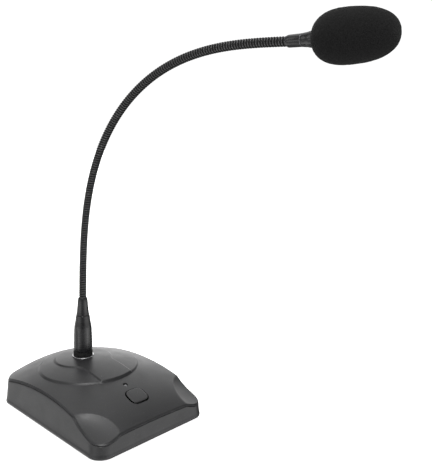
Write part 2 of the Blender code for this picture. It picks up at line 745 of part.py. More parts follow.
def add_neck():
    """A flexible tube cut at its joints into lengths, with the signal cable inside each."""
    root_s = NECK_ROOT_Z - NECK_START_Z
    tip_s = NECK_LENGTH + TIP_END
    stations = joint_stations()
    first, last = stations[0], stations[-1]
    bodies = {}
    root = add_neck_piece("gooseneck_root", neck_tube(root_s, first, 0, 1), BLACK_METAL, root_s)
    cable = cable_mesh(root_s - 8 * MM, first - CABLE_END)
    bodies["root"] = [root, add_neck_piece("signal_cable_root", cable, BLACK_RUBBER, root_s)]
    for i, (start, end) in enumerate(zip(stations, stations[1:]), 1):
        tube = add_neck_piece(f"gooseneck_{i}", neck_tube(start, end, 1, 1), BLACK_METAL, start)
        cable = cable_mesh(start + CABLE_END, end - CABLE_END)
        bodies[i] = [tube, add_neck_piece(f"signal_cable_{i}", cable, BLACK_RUBBER, start)]
    tip = add_neck_piece("gooseneck_tip", neck_tube(last, tip_s, 1, 0), BLACK_METAL, last)
    cable = cable_mesh(last + CABLE_END, tip_s + 8 * MM)
    bodies["tip"] = [tip, add_neck_piece("signal_cable_tip", cable, BLACK_RUBBER, last)]
    return bodies


# ---------------------------------------------------------------- plug at the neck's foot


def add_plug():
    """Barrel, grip ring, tapered sleeve, insert and pins: what lifts out of the socket with the neck."""
    column = at(0, COLUMN_Y)
    groove_r = 8.9 * MM
    outer = [
        (PLUG_R - 0.4 * MM, 31.0 * MM),
        (PLUG_R, 31.6 * MM),
        (PLUG_R, 48.7 * MM),
        (groove_r, 48.7 * MM),
        (groove_r, 53.6 * MM),
        (PLUG_R, 53.6 * MM),
        (PLUG_R, 63.0 * MM),
        (9.2 * MM, 73.0 * MM),
        (9.05 * MM, 77.5 * MM),
        (8.4 * MM, 81.8 * MM),
        (7.75 * MM, 85.8 * MM),
        (7.3 * MM, 89.3 * MM),
        (6.9 * MM, 92.2 * MM),
    ]
    inner = [(4.9 * MM, 92.2 * MM), (4.9 * MM, 78 * MM), (6.4 * MM, 74 * MM), (6.4 * MM, 57 * MM)]
    inner += [(PLUG_BORE_R, 56 * MM), (PLUG_BORE_R, 31.0 * MM)]
    parts = [add_mesh_object("plug_barrel", lathe(outer + inner, 24, closed=True), BLACK_METAL, column)]
    grip = [
        (groove_r + GAP, 49.0 * MM),
        (9.7 * MM, 49.0 * MM),
        (9.85 * MM, 49.6 * MM),
        (9.85 * MM, 52.8 * MM),
        (9.7 * MM, 53.3 * MM),
        (groove_r + GAP, 53.3 * MM),
    ]
    parts.append(add_mesh_object("plug_grip_ring", lathe(grip, 24, closed=True), BLACK_RUBBER, column))
    bore = NECK_R + GAP
    sleeve = [
        (bore, 84 * MM),
        (4.6 * MM, 84 * MM),
        (4.6 * MM, 92.6 * MM),
        (6.55 * MM, 92.6 * MM),
        (6.1 * MM, 95.6 * MM),
        (5.55 * MM, 101.5 * MM),
        (5.2 * MM, 106 * MM),
        (4.85 * MM, 109.0 * MM),
        (4.4 * MM, 110.6 * MM),
        (bore, 110.8 * MM),
    ]
    parts.append(add_mesh_object("strain_sleeve", lathe(sleeve, 20, closed=True), BLACK_METAL, column))
    low, high = 46.2 * MM, 52.0 * MM
    disc = lathe([(PLUG_BORE_R - GAP, low), (PLUG_BORE_R - GAP, high)], 20)
    insert = add_mesh_object("plug_insert", disc, BLACK_PLASTIC, column)
    parts.append(insert)
    for number, (x, y) in enumerate(pin_places(), 1):
        place = at(x, y + COLUMN_Y)
        hole = lathe([(PIN_R + GAP, low - MM), (PIN_R + GAP, high + MM)], 10)
        cut(insert, f"plug_pin_hole_{number}", hole, place)
        parts.append(add_mesh_object(f"plug_pin_{number}", pin_mesh(55.0 * MM, 34.5 * MM), NICKEL, place))
    return parts


# ---------------------------------------------------------------- head


def head_frame():
    return neck_frame(NECK_LENGTH + 0.01 * MM)


def foam_radius(share):
    """Outer radius of the windscreen, share from -1 at the neck to +1 at its front."""
    swell = max(0.0, 1 - abs(share) ** FOAM_POWER) ** (1 / FOAM_POWER)
    return FOAM_DIAMETER / 2 * swell * (1 - FOAM_TAPER * share)


def add_head():
    frame = head_frame()
    bore = NECK_R + GAP
    collar = [
        (bore, COLLAR_START),
        (4.45 * MM, COLLAR_START),
        (4.72 * MM, COLLAR_START + MM),
        (4.78 * MM, 7.0 * MM),
        (4.85 * MM, COLLAR_END),
        (bore, COLLAR_END),
    ]
    trim = [
        (4.3 * MM, COLLAR_END + 0.1 * MM),
        (4.98 * MM, COLLAR_END + 0.1 * MM),
        (4.98 * MM, TRIM_END),
        (4.3 * MM, TRIM_END),
    ]
    start = TRIM_END + 0.1 * MM
    housing = [
        (3.4 * MM, start),
        (5.15 * MM, start),
        (5.6 * MM, 19.0 * MM),
        (CAPSULE_HOUSING_R, 24.0 * MM),
        (CAPSULE_HOUSING_R, CAPSULE_HOUSING_END),
        (5.3 * MM, CAPSULE_HOUSING_END),
        (5.3 * MM, 26.0 * MM),
        (3.4 * MM, 18.0 * MM),
    ]
    parts = [
        add_mesh_object("head_collar", lathe(collar, 20, closed=True), BLACK_METAL, frame),
        add_mesh_object("collar_trim_ring", lathe(trim, 20, closed=True), NICKEL, frame),
        add_mesh_object("capsule_housing", lathe(housing, 20, closed=True), BLACK_METAL, frame),
    ]
    capsule = lathe([(4.0 * MM, 52 * MM), (4.0 * MM, 57.5 * MM), (3.7 * MM, 57.8 * MM)], 16)
    parts.append(add_mesh_object("mic_capsule", capsule, NICKEL, frame))
    gasket = [(4.3 * MM, 51.5 * MM), (5.0 * MM, 51.5 * MM), (5.0 * MM, 58 * MM), (4.3 * MM, 58 * MM)]
    parts.append(add_mesh_object("capsule_gasket", lathe(gasket, 16, closed=True), BLACK_RUBBER, frame))
    grille_low = CAPSULE_HOUSING_END + GAP
    disc = lathe([(CAPSULE_HOUSING_R, grille_low), (5.6 * MM, grille_low + 1.2 * MM)], 20)
    grille = add_mesh_object("capsule_grille", disc, BLACK_METAL, frame)
    for i in range(6):
        turn = Matrix.Rotation(math.radians(60 * i), 4, "Z")
        hole = lathe([(0.9 * MM, grille_low - MM), (0.9 * MM, grille_low + 2 * MM)], 8)
        cut(grille, f"grille_hole_{i}", hole, frame @ turn @ at(3.4 * MM, 0))
    parts.append(grille)
    return parts


def add_foam():
    """Egg-shaped windscreen with a blind bore that slips over the capsule housing."""
    steps = 15
    shares = [-math.cos(math.pi * (i + 0.5) / steps) for i in range(steps)]
    middle = FOAM_START + FOAM_LENGTH / 2
    profile = [(FOAM_BORE_R, FOAM_BORE_END), (FOAM_BORE_R, FOAM_START + 0.4 * MM)]
    for share in shares:
        if foam_radius(share) > FOAM_BORE_R + MM or share > 0:
            profile.append((foam_radius(share), middle + share * FOAM_LENGTH / 2))
    rings = [circle(r, z, 24) for r, z in profile]
    poles = Vector((0, 0, FOAM_BORE_END)), Vector((0, 0, middle + FOAM_LENGTH / 2))
    return add_mesh_object("foam_windscreen", domed_rings_mesh(rings, *poles), FOAM, head_frame(), smooth=180)


# ---------------------------------------------------------------- assembly


def add_joint_empty(name, location, parent=None):
    """An empty on a joint's axis, which carries the pieces that move with it."""
    empty = bpy.data.objects.new(name, None)
    empty.empty_display_size = 10 * MM
    bpy.context.scene.collection.objects.link(empty)
    empty.matrix_world = at(*location)
    if parent:
        bpy.context.view_layer.update()
        empty.parent = parent
        empty.matrix_parent_inverse = parent.matrix_world.inverted()
    return empty


def carry(empty, parts):
    bpy.context.view_layer.update()
    for part in parts:
        part.parent = empty
        part.matrix_parent_inverse = empty.matrix_world.inverted()


def build():
    clear_scene()
    base = add_joint_empty("base_body", (0, 0, 0))
    fixed = [add_lower_shell(), add_top_shell()]
    fixed += add_base_insides() + add_circuit() + add_output_socket() + add_neck_socket()
    carry(base, fixed)
    button = add_joint_empty("button_travel", (0, BUTTON_Y, BUTTON_STEM_Z), base)
    carry(button, [add_button()])
    plug = add_joint_empty("plug_lift", (0, COLUMN_Y, SOCKET_TOP_Z), base)
    neck = add_neck()
    carry(plug, add_plug() + neck["root"])
    holder = plug
    for i, s in enumerate(joint_stations()[:-1], 1):
        holder = add_joint_empty(f"neck_bend_{i}", neck_point(s), holder)
        carry(holder, neck[i])
    head = add_joint_empty("head_bend", neck_point(LAST_JOINT_S), holder)
    carry(head, add_head() + neck["tip"])
    foam = add_joint_empty("foam_slip", head_frame().translation, head)
    carry(foam, [add_foam()])


build()
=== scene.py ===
"""Looks of the desk microphone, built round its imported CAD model.

Everything is in metres in the CAD's frame: +Z up, -Y to the front of the base, origin on the table.
The shapes repeat the CAD's driving sizes and add what it leaves plain: seams, edge rounding, the ridges of
the gooseneck, screw recesses and the foam's open cells.
"""

import json  # noqa: E402
import math  # noqa: E402

import bmesh  # noqa: E402
import bpy  # noqa: E402
import numpy as np  # noqa: E402
from mathutils import Matrix, Vector  # noqa: E402


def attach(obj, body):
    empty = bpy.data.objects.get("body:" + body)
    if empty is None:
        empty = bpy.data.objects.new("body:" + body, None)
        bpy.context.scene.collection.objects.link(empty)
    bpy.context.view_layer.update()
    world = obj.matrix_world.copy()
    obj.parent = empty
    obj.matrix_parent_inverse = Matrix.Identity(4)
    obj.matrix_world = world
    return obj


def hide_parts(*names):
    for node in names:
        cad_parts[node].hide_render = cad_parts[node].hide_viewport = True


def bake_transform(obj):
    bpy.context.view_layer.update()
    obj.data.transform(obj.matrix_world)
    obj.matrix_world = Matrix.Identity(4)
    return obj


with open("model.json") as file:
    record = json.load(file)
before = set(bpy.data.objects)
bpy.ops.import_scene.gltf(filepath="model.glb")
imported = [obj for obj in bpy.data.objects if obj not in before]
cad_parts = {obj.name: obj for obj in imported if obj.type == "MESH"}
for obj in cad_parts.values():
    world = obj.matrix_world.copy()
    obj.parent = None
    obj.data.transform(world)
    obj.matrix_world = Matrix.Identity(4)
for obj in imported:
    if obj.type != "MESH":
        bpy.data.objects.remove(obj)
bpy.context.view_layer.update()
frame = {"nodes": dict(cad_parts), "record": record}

MM = 0.001
GAP = 0.3 * MM

# Base, as in the CAD
BASE_HALF_X = 66.7 * MM
BASE_HALF_Y = 85.1 * MM
CORNER_RADIUS = 14.7 * MM
DRAFT = math.tan(math.radians(4.0))
WALL = 2.5 * MM
FLOOR_Z = 0.8 * MM
FLOOR_TOP_Z = 3.8 * MM
BEAD_HEIGHT = 2.2 * MM
BEAD_DEPTH = 0.4 * MM
BEAD_FADE = 2.4 * MM
SEAM_DROP = 1.8 * MM
SEAM_GROOVE = 1.2 * MM
TONGUE_DEPTH = 2.5 * MM
TONGUE_WIDTH = 1.3 * MM
CROWN_Z = 45.56 * MM
CROWN_Y = 18.44 * MM
ARCH_SQUARE = 2.0945
ARCH_FOURTH = 27.24
BOW = (8.867 * MM, 5.152 * MM, -1.937 * MM)
BOW_HALF_X = 63.5 * MM
BOW_HALF_Y = 90.0 * MM
SCOOP_CENTRE = Vector((74.5 * MM, -295.2 * MM, 38.6 * MM))
SCOOP_RADII = (87.9 * MM, 255.8 * MM, 45.0 * MM)
SCOOP_LIP = 0.35 * MM
DISC_Y = 22.0 * MM
DISC_RADIUS = 51.4 * MM
DISC_STEP = 1.5 * MM
DISC_FILLET = 2.0 * MM
BAND_STEP = 2.5 * MM
BAND_HALF_X = 18.6 * MM
BAND_FILLET = 1.8 * MM
KEY_RADIUS = 29.3 * MM
KEY_BLEND = 4.5 * MM
COLUMN_Y = 32.7 * MM
SOCKET_TOP_Z = 48.2 * MM
SOCKET_FLOOR_Z = 27.5 * MM
SOCKET_OUTER_R = 11.2 * MM
SOCKET_BORE_R = 9.9 * MM
SOCKET_PLAY = 0.15 * MM
SOCKET_FLOOR_THICK = 2.0 * MM
BUTTON_Y = -56.0 * MM
BUTTON_HALF_X = 9.6 * MM
BUTTON_HALF_Y = 8.1 * MM
BUTTON_RADIUS = 5.8 * MM
BUTTON_GAP = 1.2 * MM
BUTTON_PLAY = 0.4 * MM
BUTTON_PROUD = 0.5 * MM
BUTTON_THICK = 3.0 * MM
BUTTON_STEM_Z = 28.2 * MM
BUTTON_STEM_R = 1.6 * MM
LED_Y = -38.3 * MM
LED_R = 1.6 * MM
LED_HOLE_R = 2.5 * MM
LED_SINK = 0.5 * MM
LED_FOOT_Z = 21.9 * MM
PAD_HALF_X = 58.0 * MM
PAD_HALF_Y = 76.0 * MM
PAD_RADIUS = 9.0 * MM
PAD_THICK = 1.6 * MM
PAD_GROOVE_PITCH = 6.0 * MM
PAD_GROOVES_TO_SIDE = 11
PAD_GROOVE_HALF_X = 50.0 * MM
PAD_GROOVE_HALF_Y = 0.6 * MM
PAD_GROOVE_DEPTH = 0.35 * MM
POST_R = 5.0 * MM
POST_TOP_Z = 12.0 * MM
CASE_SCREWS = {
    "front_left": (-34.0 * MM, -52.0 * MM),
    "front_right": (34.0 * MM, -52.0 * MM),
    "rear_left": (-44.0 * MM, 62.0 * MM),
    "rear_right": (44.0 * MM, 62.0 * MM),
}
OUTLET_Z = 16.6 * MM
OUTLET_BORE_R = 9.6 * MM
OUTLET_BARREL_R = 10.9 * MM
OUTLET_DEPTH = 15.8 * MM
OUTLET_HALF_X = 15.0 * MM
OUTLET_HALF_Z = 11.5 * MM
OUTLET_FACE = 2.1 * MM
OUTLET_PIN_CIRCLE_R = 4.1 * MM
OUTLET_SCREWS = {"left": (-11.8 * MM, 8.7 * MM), "right": (11.8 * MM, -8.7 * MM)}

# Screws: head radius, head height, shaft radius, length
CASE_SCREW = (3.2 * MM, 2.2 * MM, 1.5 * MM, 17.0 * MM)
FLANGE_SCREW = (2.4 * MM, 1.4 * MM, 1.25 * MM, 7.0 * MM)
CASE_SCREW_SEAT_Z = 4.0 * MM
CASE_SCREW_HOLE_R = 3.6 * MM
FLANGE_SCREW_HOLE_R = 1.6 * MM
THREAD_PITCH = 0.45 * MM

# Gooseneck and head, as in the CAD
NECK_R = 3.85 * MM
NECK_BORE_R = 2.0 * MM
NECK_START_Z = 113.0 * MM
NECK_LENGTH = 387.5 * MM
NECK_LEAN_START = math.radians(1.25)
NECK_LEAN_END = math.radians(90.65)
NECK_EASE = 1.113
NECK_SWING = math.radians(6.93)
NECK_ROOT_S = -33.0 * MM
FIRST_JOINT_S = 4.0 * MM
LAST_JOINT_S = 378.0 * MM
SEGMENTS = 7
RIDGE_PITCH = 2.5 * MM
RIDGE_DEPTH = 0.55 * MM
RIDGE_STEPS = 12
NECK_SIDES = 28
FIRST_BEND_REACH = 6.0 * MM
HEAD_LEAN = math.radians(88.4)
TIP_END = 11.0 * MM
FOAM_START = 23.3 * MM
FOAM_LENGTH = 63.0 * MM
FOAM_DIAMETER = 38.5 * MM
FOAM_POWER = 2.5
FOAM_TAPER = 0.1
FOAM_BORE_R = 6.5 * MM
FOAM_BORE_END = 64.0 * MM
FOAM_SIDES = 220
FOAM_STEPS = 170

# Fineness of the meshes
ROUND = 72
TOP_RINGS = 190

# Camera: turned from +Y towards +X, tipped down and rolled, in degrees
CAMERA_PLACE = Vector((-347.86 * MM, -473.22 * MM, 296.15 * MM))
CAMERA_YAW = math.radians(47.3154)
CAMERA_PITCH = math.radians(10.7922)
CAMERA_ROLL = math.radians(-1.9504)
CAMERA_LENS = 46.07

# Studio: soft lights as (azimuth from +X, elevation, sharpness, level), with angles in degrees
LIGHT_ZONES = (
    # Bounce from below
    (-124.5, -50, 9, 1.85),
    (115.5, -50, 9, 1.67),
    # Fill at table level, for the base's walls
    (-84.5, -16, 14, 1.21),
    (-44.5, -16, 14, 1.44),
    (115.5, -16, 14, 0.68),
    (-164.5, -16, 14, 0.7),
    (-73, 6, 18, 0.36),
    (-176, 6, 18, 0.58),
    # Wide panel behind the object as the camera sees it, mirrored by the crown and the disc
    (30, 6, 18, 0.86),
    (55.5, 6, 18, 1.34),
    (81, 6, 18, 1.36),
    (48, -1, 60, 0.8),
    (25.5, 28, 18, 0.98),
    (55.5, 28, 18, 0.29),
    (35.5, 50, 16, 0.56),
    (75.5, 50, 16, 0.34),
    # Overhead
    (-124.5, 72, 14, 2.7),
    (91.5, 72, 14, 1.15),
    # Small lamps over the camera, for the glint in the scoops and along raised edges
    (-124.5, 66, 150, 18),
    (-124.5, 38, 200, 26),
    # Strip at the camera's left and a lamp at each side of the front, for the neck's crests
    (147, 36, 110, 2.2),
    (143, 17, 110, 3.2),
    (157, -9, 110, 2.6),
    (180, -15, 90, 2.2),
    (-65, -19, 90, 1.8),
)
BACKDROP_LEVEL = 1.06
FLOOR_GLOW = 0.75
FLOOR_HALF = 4.0


# ---------------------------------------------------------------- surfaces of the base


def crown_z(x, y):
    """The crown: an arch from front to rear that drops towards both sides."""
    along = y - CROWN_Y
    v = y / BOW_HALF_Y
    bow = (BOW[0] + BOW[1] * v + BOW[2] * v * v) * (x / BOW_HALF_X) ** 2
    return CROWN_Z - ARCH_SQUARE * along**2 - ARCH_FOURTH * along**4 - bow


def scoop_z(x, y):
    """The long flattened ball that scoops each front corner; far above the base where it has no floor."""
    along_x = (np.abs(x) - SCOOP_CENTRE.x) / SCOOP_RADII[0]
    along_y = (y - SCOOP_CENTRE.y) / SCOOP_RADII[1]
    inside = np.maximum(1 - along_x**2 - along_y**2, 0.0)
    return np.where(inside > 0, SCOOP_CENTRE.z - SCOOP_RADII[2] * np.sqrt(inside), 1.0)


def soft_min(a, b, width):
    """The lower of two heights, rounded off where they cross."""
    share = np.clip(0.5 + 0.5 * (b - a) / width, 0.0, 1.0)
    return b * (1 - share) + a * share - width * share * (1 - share)


def smooth(value):
    share = np.clip(value, 0.0, 1.0)
    return share * share * (3 - 2 * share)


def plain_top_z(x, y):
    """The top without its raised disc."""
    return soft_min(crown_z(x, y), scoop_z(x, y), SCOOP_LIP)


def disc_depth(x, y):
    """How far a point is inside the disc's edge."""
    return DISC_RADIUS - np.hypot(x, y - DISC_Y)


def keyhole_depth(x, y):
    """How far a point is inside the keyhole: the circle round the neck or the band to the front."""
    circle = np.hypot(x, y - COLUMN_Y) - KEY_RADIUS
    band = np.maximum(np.abs(x) - BAND_HALF_X, y - COLUMN_Y)
    return -soft_min(circle, band, KEY_BLEND)


def top_z(x, y):
    disc = smooth(disc_depth(x, y) / DISC_FILLET)
    band = smooth(np.minimum(keyhole_depth(x, y) / BAND_FILLET + 0.5, disc_depth(x, y) / DISC_FILLET))
    return plain_top_z(x, y) + DISC_STEP * disc + (BAND_STEP - DISC_STEP) * band


def inner_top_z(x, y):
    """The underside of the top shell."""
    return plain_top_z(x, y) - WALL


def lower_rim_z(x, y):
    return np.minimum(crown_z(x, y), scoop_z(x, y)) - SEAM_DROP


def upper_rim_z(x, y):
    return lower_rim_z(x, y) + SEAM_GROOVE


def tongue_foot_z(x, y):
    return lower_rim_z(x, y) - TONGUE_DEPTH


# ---------------------------------------------------------------- outlines and rings


def rounded_rectangle(half_x, half_y, radius, corner=8, along_x=1, along_y=1):
    """Counterclockwise outline as an array of plan points."""
    corners = (
        (half_x - radius, -half_y + radius, -90, along_y),
        (half_x - radius, half_y - radius, 0, along_x),
        (-half_x + radius, half_y - radius, 90, along_y),
        (-half_x + radius, -half_y + radius, 180, along_x),
    )
    arcs = []
    for cx, cy, start, _ in corners:
        angles = np.radians(np.linspace(start, start + 90, corner + 1))
        arcs.append(np.c_[cx + radius * np.cos(angles), cy + radius * np.sin(angles)])
    points = []
    for i, (_, _, _, steps) in enumerate(corners):
        points.append(arcs[i])
        share = (np.arange(1, steps) / steps)[:, None]
        points.append(arcs[i][-1] * (1 - share) + arcs[(i + 1) % 4][0] * share)
    return np.concatenate(points)


def widened_rectangle(half_x, half_y, radius, margin, corner):
    """A rounded rectangle grown, or with a negative margin shrunk, evenly all round."""
    return rounded_rectangle(half_x + margin, half_y + margin, radius + margin, corner)


def wall_ring(inset, height):
    """A ring of the base's wall, drawn in by inset and by the wall's draft at its height."""
    plan = rounded_rectangle(BASE_HALF_X - inset, BASE_HALF_Y - inset, CORNER_RADIUS - inset, 14, 64, 84)
    x, y = plan[:, 0], plan[:, 1]
    z = height(x, y) if callable(height) else np.full(len(plan), height)
    return np.c_[x * (1 - z * DRAFT / BASE_HALF_X), y * (1 - z * DRAFT / BASE_HALF_Y), z]


def surface_ring(ring, share, height):
    x, y = ring[:, 0] * share, ring[:, 1] * share
    return np.c_[x, y, height(x, y)]


def flat_ring(outline, z):
    return np.c_[outline, np.full(len(outline), z)]


def turned_ring(radius, z, sides=ROUND):
    turn = np.linspace(0, 2 * np.pi, sides, endpoint=False)
    return np.c_[radius * np.cos(turn), radius * np.sin(turn), np.full(sides, z)]


def softened(profile, radius, steps=3):
    """Rounds each corner inside a (radius, z) profile with a short curve."""
    points = [np.array(p, float) for p in profile]
    made = [points[0]]
    for before, corner, after in zip(points, points[1:], points[2:]):
        back, ahead = before - corner, after - corner
        reach = min(radius, 0.45 * np.linalg.norm(back), 0.45 * np.linalg.norm(ahead))
        start = corner + back / np.linalg.norm(back) * reach
        end = corner + ahead / np.linalg.norm(ahead) * reach
        for t in np.linspace(0, 1, steps + 1):
            made.append(start * (1 - t) ** 2 + 2 * corner * t * (1 - t) + end * t * t)
    made.append(points[-1])
    return made


def softened_mm(profile, radius, steps=3):
    """The same, for a profile whose points are given in millimetres."""
    return softened([(r * MM, z * MM) for r, z in profile], radius, steps)


# ---------------------------------------------------------------- meshes


def mesh_object(name, verts, faces, material, sharp=35.0):
    mesh = bpy.data.meshes.new(name)
    mesh.from_pydata([tuple(v) for v in verts], [], faces)
    bm = bmesh.new()
    bm.from_mesh(mesh)
    bmesh.ops.recalc_face_normals(bm, faces=bm.faces)
    bm.to_mesh(mesh)
    bm.free()
    mesh.shade_smooth()
    mesh.set_sharp_from_angle(angle=math.radians(sharp))
    mesh.materials.append(material)
    obj = bpy.data.objects.new(name, mesh)
    bpy.context.scene.collection.objects.link(obj)
    return obj


def loft(rings, loop=False, poles=None):
    """Vertices and faces of equal rings joined by quads; open ends are closed by poles or flat caps."""
    count = len(rings[0])
    verts = [tuple(p) for ring in rings for p in ring]
    faces = []
    pairs = list(range(len(rings) - 1))
    if loop:
        pairs.append(len(rings) - 1)
    for k in pairs:
        low, high = k * count, ((k + 1) % len(rings)) * count
        for i in range(count):
            j = (i + 1) % count
            faces.append((low + i, low + j, high + j, high + i))
    if loop:
        return verts, faces
    last = (len(rings) - 1) * count
    if poles is None:
        faces.append(tuple(range(count - 1, -1, -1)))
        faces.append(tuple(last + i for i in range(count)))
        return verts, faces
    for pole, start in zip(poles, (0, last)):
        verts.append(tuple(pole))
        top = len(verts) - 1
        faces += [(start + i, start + (i + 1) % count, top) for i in range(count)]
    return verts, faces


def lofted(name, rings, material, matrix=None, loop=False, poles=None, sharp=35.0):
    verts, faces = loft(rings, loop, poles)
    obj = mesh_object(name, verts, faces, material, sharp)
    if matrix is not None:
        obj.data.transform(matrix)
    return obj


def turned(name, profile, material, matrix=None, loop=False, sides=ROUND, sharp=35.0):
    rings = [turned_ring(r, z, sides) for r, z in profile]
    return lofted(name, rings, material, matrix, loop, sharp=sharp)


def joined_mesh(parts):
    """One vertex and face list from several, for cutters that don't touch each other."""
    verts, faces = [], []
    for part_verts, part_faces, matrix in parts:
        start = len(verts)
        verts += [tuple(matrix @ Vector(v)) for v in part_verts]
        faces += [tuple(start + i for i in f) for f in part_faces]
    return verts, faces


def carve(obj, parts, operation="DIFFERENCE", sharp=35.0):
    """Applies one exact Boolean with the given closed shapes."""
    verts, faces = joined_mesh(parts)
    tool = mesh_object(obj.name + "_tool", verts, faces, obj.data.materials[0])
    modifier = obj.modifiers.new("cut", "BOOLEAN")
    modifier.operation = operation
    modifier.solver = "EXACT"
    modifier.object = tool
    bpy.context.view_layer.update()
    evaluated = obj.evaluated_get(bpy.context.evaluated_depsgraph_get())
    mesh = bpy.data.meshes.new_from_object(evaluated)
    obj.modifiers.clear()
    obj.data = mesh
    bpy.data.objects.remove(tool, do_unlink=True)
    mesh.shade_smooth()
    mesh.set_sharp_from_angle(angle=math.radians(sharp))


def tube_shape(radius, low, high, matrix, sides=48):
    verts, faces = loft([turned_ring(radius, low, sides), turned_ring(radius, high, sides)])
    return verts, faces, matrix


def plate_shape(outline, low, high, matrix):
    verts, faces = loft([flat_ring(outline, low), flat_ring(outline, high)])
    return verts, faces, matrix


def at(x, y, z=0.0):
    return Matrix.Translation((x, y, z))


def axis_frame(origin, direction, side):
    z = direction.normalized()
    y = z.cross(side).normalized()
    x = y.cross(z)
    return Matrix.Translation(origin) @ Matrix((x, y, z)).transposed().to_4x4()


def place(obj, body, node):
    """Puts a finished piece on its body and lets it stand for its CAD node."""
    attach(obj, body)
    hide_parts(node)


# ---------------------------------------------------------------- materials


class Look:
    """A material under construction: its nodes, its links and its main shader."""

    def __init__(self, name):
        self.material = bpy.data.materials.new(name)
        self.material.use_nodes = True
        self.tree = self.material.node_tree
        self.shader = self.tree.nodes["Principled BSDF"]
        self.coords = self.add("ShaderNodeTexCoord").outputs["Object"]

    def add(self, kind, **settings):
        node = self.tree.nodes.new(kind)
        for key, value in settings.items():
            setattr(node, key, value)
        return node

    def link(self, source, target):
        self.tree.links.new(source, target)

    def noise(self, scale, detail=3.0, rough=0.55, stretch=None):
        node = self.add("ShaderNodeTexNoise")
        node.inputs["Scale"].default_value = scale
        node.inputs["Detail"].default_value = detail
        node.inputs["Roughness"].default_value = rough
        if stretch is None:
            self.link(self.coords, node.inputs["Vector"])
        else:
            mapping = self.add("ShaderNodeMapping")
            mapping.inputs["Scale"].default_value = stretch
            self.link(self.coords, mapping.inputs["Vector"])
            self.link(mapping.outputs["Vector"], node.inputs["Vector"])
        return node.outputs["Fac"]

    def cells(self, scale):
        node = self.add("ShaderNodeTexVoronoi")
        node.inputs["Scale"].default_value = scale
        self.link(self.coords, node.inputs["Vector"])
        return node.outputs["Distance"]

    def spread(self, value, low, high, new_low, new_high):
        node = self.add("ShaderNodeMapRange")
        node.inputs["From Min"].default_value = low
        node.inputs["From Max"].default_value = high
        node.inputs["To Min"].default_value = new_low
        node.inputs["To Max"].default_value = new_high
        self.link(value, node.inputs["Value"])
        return node.outputs["Result"]

    def mix(self, factor, first, second):
        """Mixes two colours, each a tuple or a socket."""
        node = self.add("ShaderNodeMix", data_type="RGBA")
        self.link(factor, node.inputs["Factor"])
        for value, name in ((first, "A"), (second, "B")):
            socket = [s for s in node.inputs if s.name == name and s.type == "RGBA"][0]
            if isinstance(value, tuple):
                socket.default_value = (*value, 1.0)
            else:
                self.link(value, socket)
        return [s for s in node.outputs if s.type == "RGBA"][0]

    def product(self, first, second):
        node = self.add("ShaderNodeMath", operation="MULTIPLY")
        self.link(first, node.inputs[0])
        self.link(second, node.inputs[1])
        return node.outputs["Value"]

    def edges(self, low=0.53, high=0.62):
        """Rises to 1 on convex edges, where wear shows first."""
        return self.spread(self.add("ShaderNodeNewGeometry").outputs["Pointiness"], low, high, 0.0, 1.0)

    def attribute(self, name):
        return self.add("ShaderNodeAttribute", attribute_name=name).outputs["Fac"]

    def bump(self, height, strength, distance, normal=None):
        node = self.add("ShaderNodeBump")
        node.inputs["Strength"].default_value = strength
        node.inputs["Distance"].default_value = distance
        self.link(height, node.inputs["Height"])
        if normal is not None:
            self.link(normal, node.inputs["Normal"])
        return node.outputs["Normal"]

    def finish(self, colour, roughness, normal, **values):
        self.link(colour, self.shader.inputs["Base Color"])
        self.link(roughness, self.shader.inputs["Roughness"])
        self.link(normal, self.shader.inputs["Normal"])
        for name, value in values.items():
            self.shader.inputs[name.replace("_", " ")].default_value = value
        return self.material


def tinted(colour, factor):
    return tuple(factor * c for c in colour)


def moulded_plastic(name, colour, worn, roughness, grain=2600.0, grain_strength=0.22):
    """Fine-textured moulding, with faint clouding, slightly uneven sheen and paler rubbed edges."""
    look = Look(name)
    cloud = look.noise(22.0, 4.0)
    grain_height = look.noise(grain, 2.0, 0.6)
    speck = look.noise(900.0, 2.0)
    shade = look.mix(look.spread(cloud, 0.3, 0.7, 0.0, 1.0), tinted(colour, 0.9), tinted(colour, 1.1))
    shade = look.mix(look.spread(speck, 0.62, 0.8, 0.0, 0.35), shade, worn)
    uneven = look.spread(look.noise(160.0, 3.0), 0.4, 0.65, 0.15, 1.0)
    shade = look.mix(look.product(look.edges(), uneven), shade, worn)
    sheen = look.spread(look.noise(60.0, 5.0), 0.3, 0.7, roughness - 0.05, roughness + 0.06)
    normal = look.bump(grain_height, grain_strength, 0.06 * MM)
    return look.finish(shade, sheen, normal)


def lacquered_metal(name, colour, worn, roughness, coat=0.25, stretch=None):
    """Black lacquer over turned metal: fine orange peel, faint turning marks and thin wear on edges."""
    look = Look(name)
    peel = look.noise(1400.0, 2.0)
    marks = look.noise(300.0, 3.0, 0.6, stretch or (0.15, 0.15, 6.0))
    cloud = look.spread(look.noise(45.0), 0.3, 0.7, 0.0, 1.0)
    shade = look.mix(cloud, tinted(colour, 0.85), tinted(colour, 1.15))
    uneven = look.spread(look.noise(240.0, 4.0), 0.45, 0.7, 0.0, 1.0)
    shade = look.mix(look.product(look.edges(0.55, 0.66), uneven), shade, worn)
    sheen = look.spread(marks, 0.3, 0.7, roughness - 0.05, roughness + 0.07)
    normal = look.bump(marks, 0.08, 0.03 * MM, look.bump(peel, 0.1, 0.03 * MM))
    return look.finish(shade, sheen, normal, Coat_Weight=coat, Coat_Roughness=0.18)


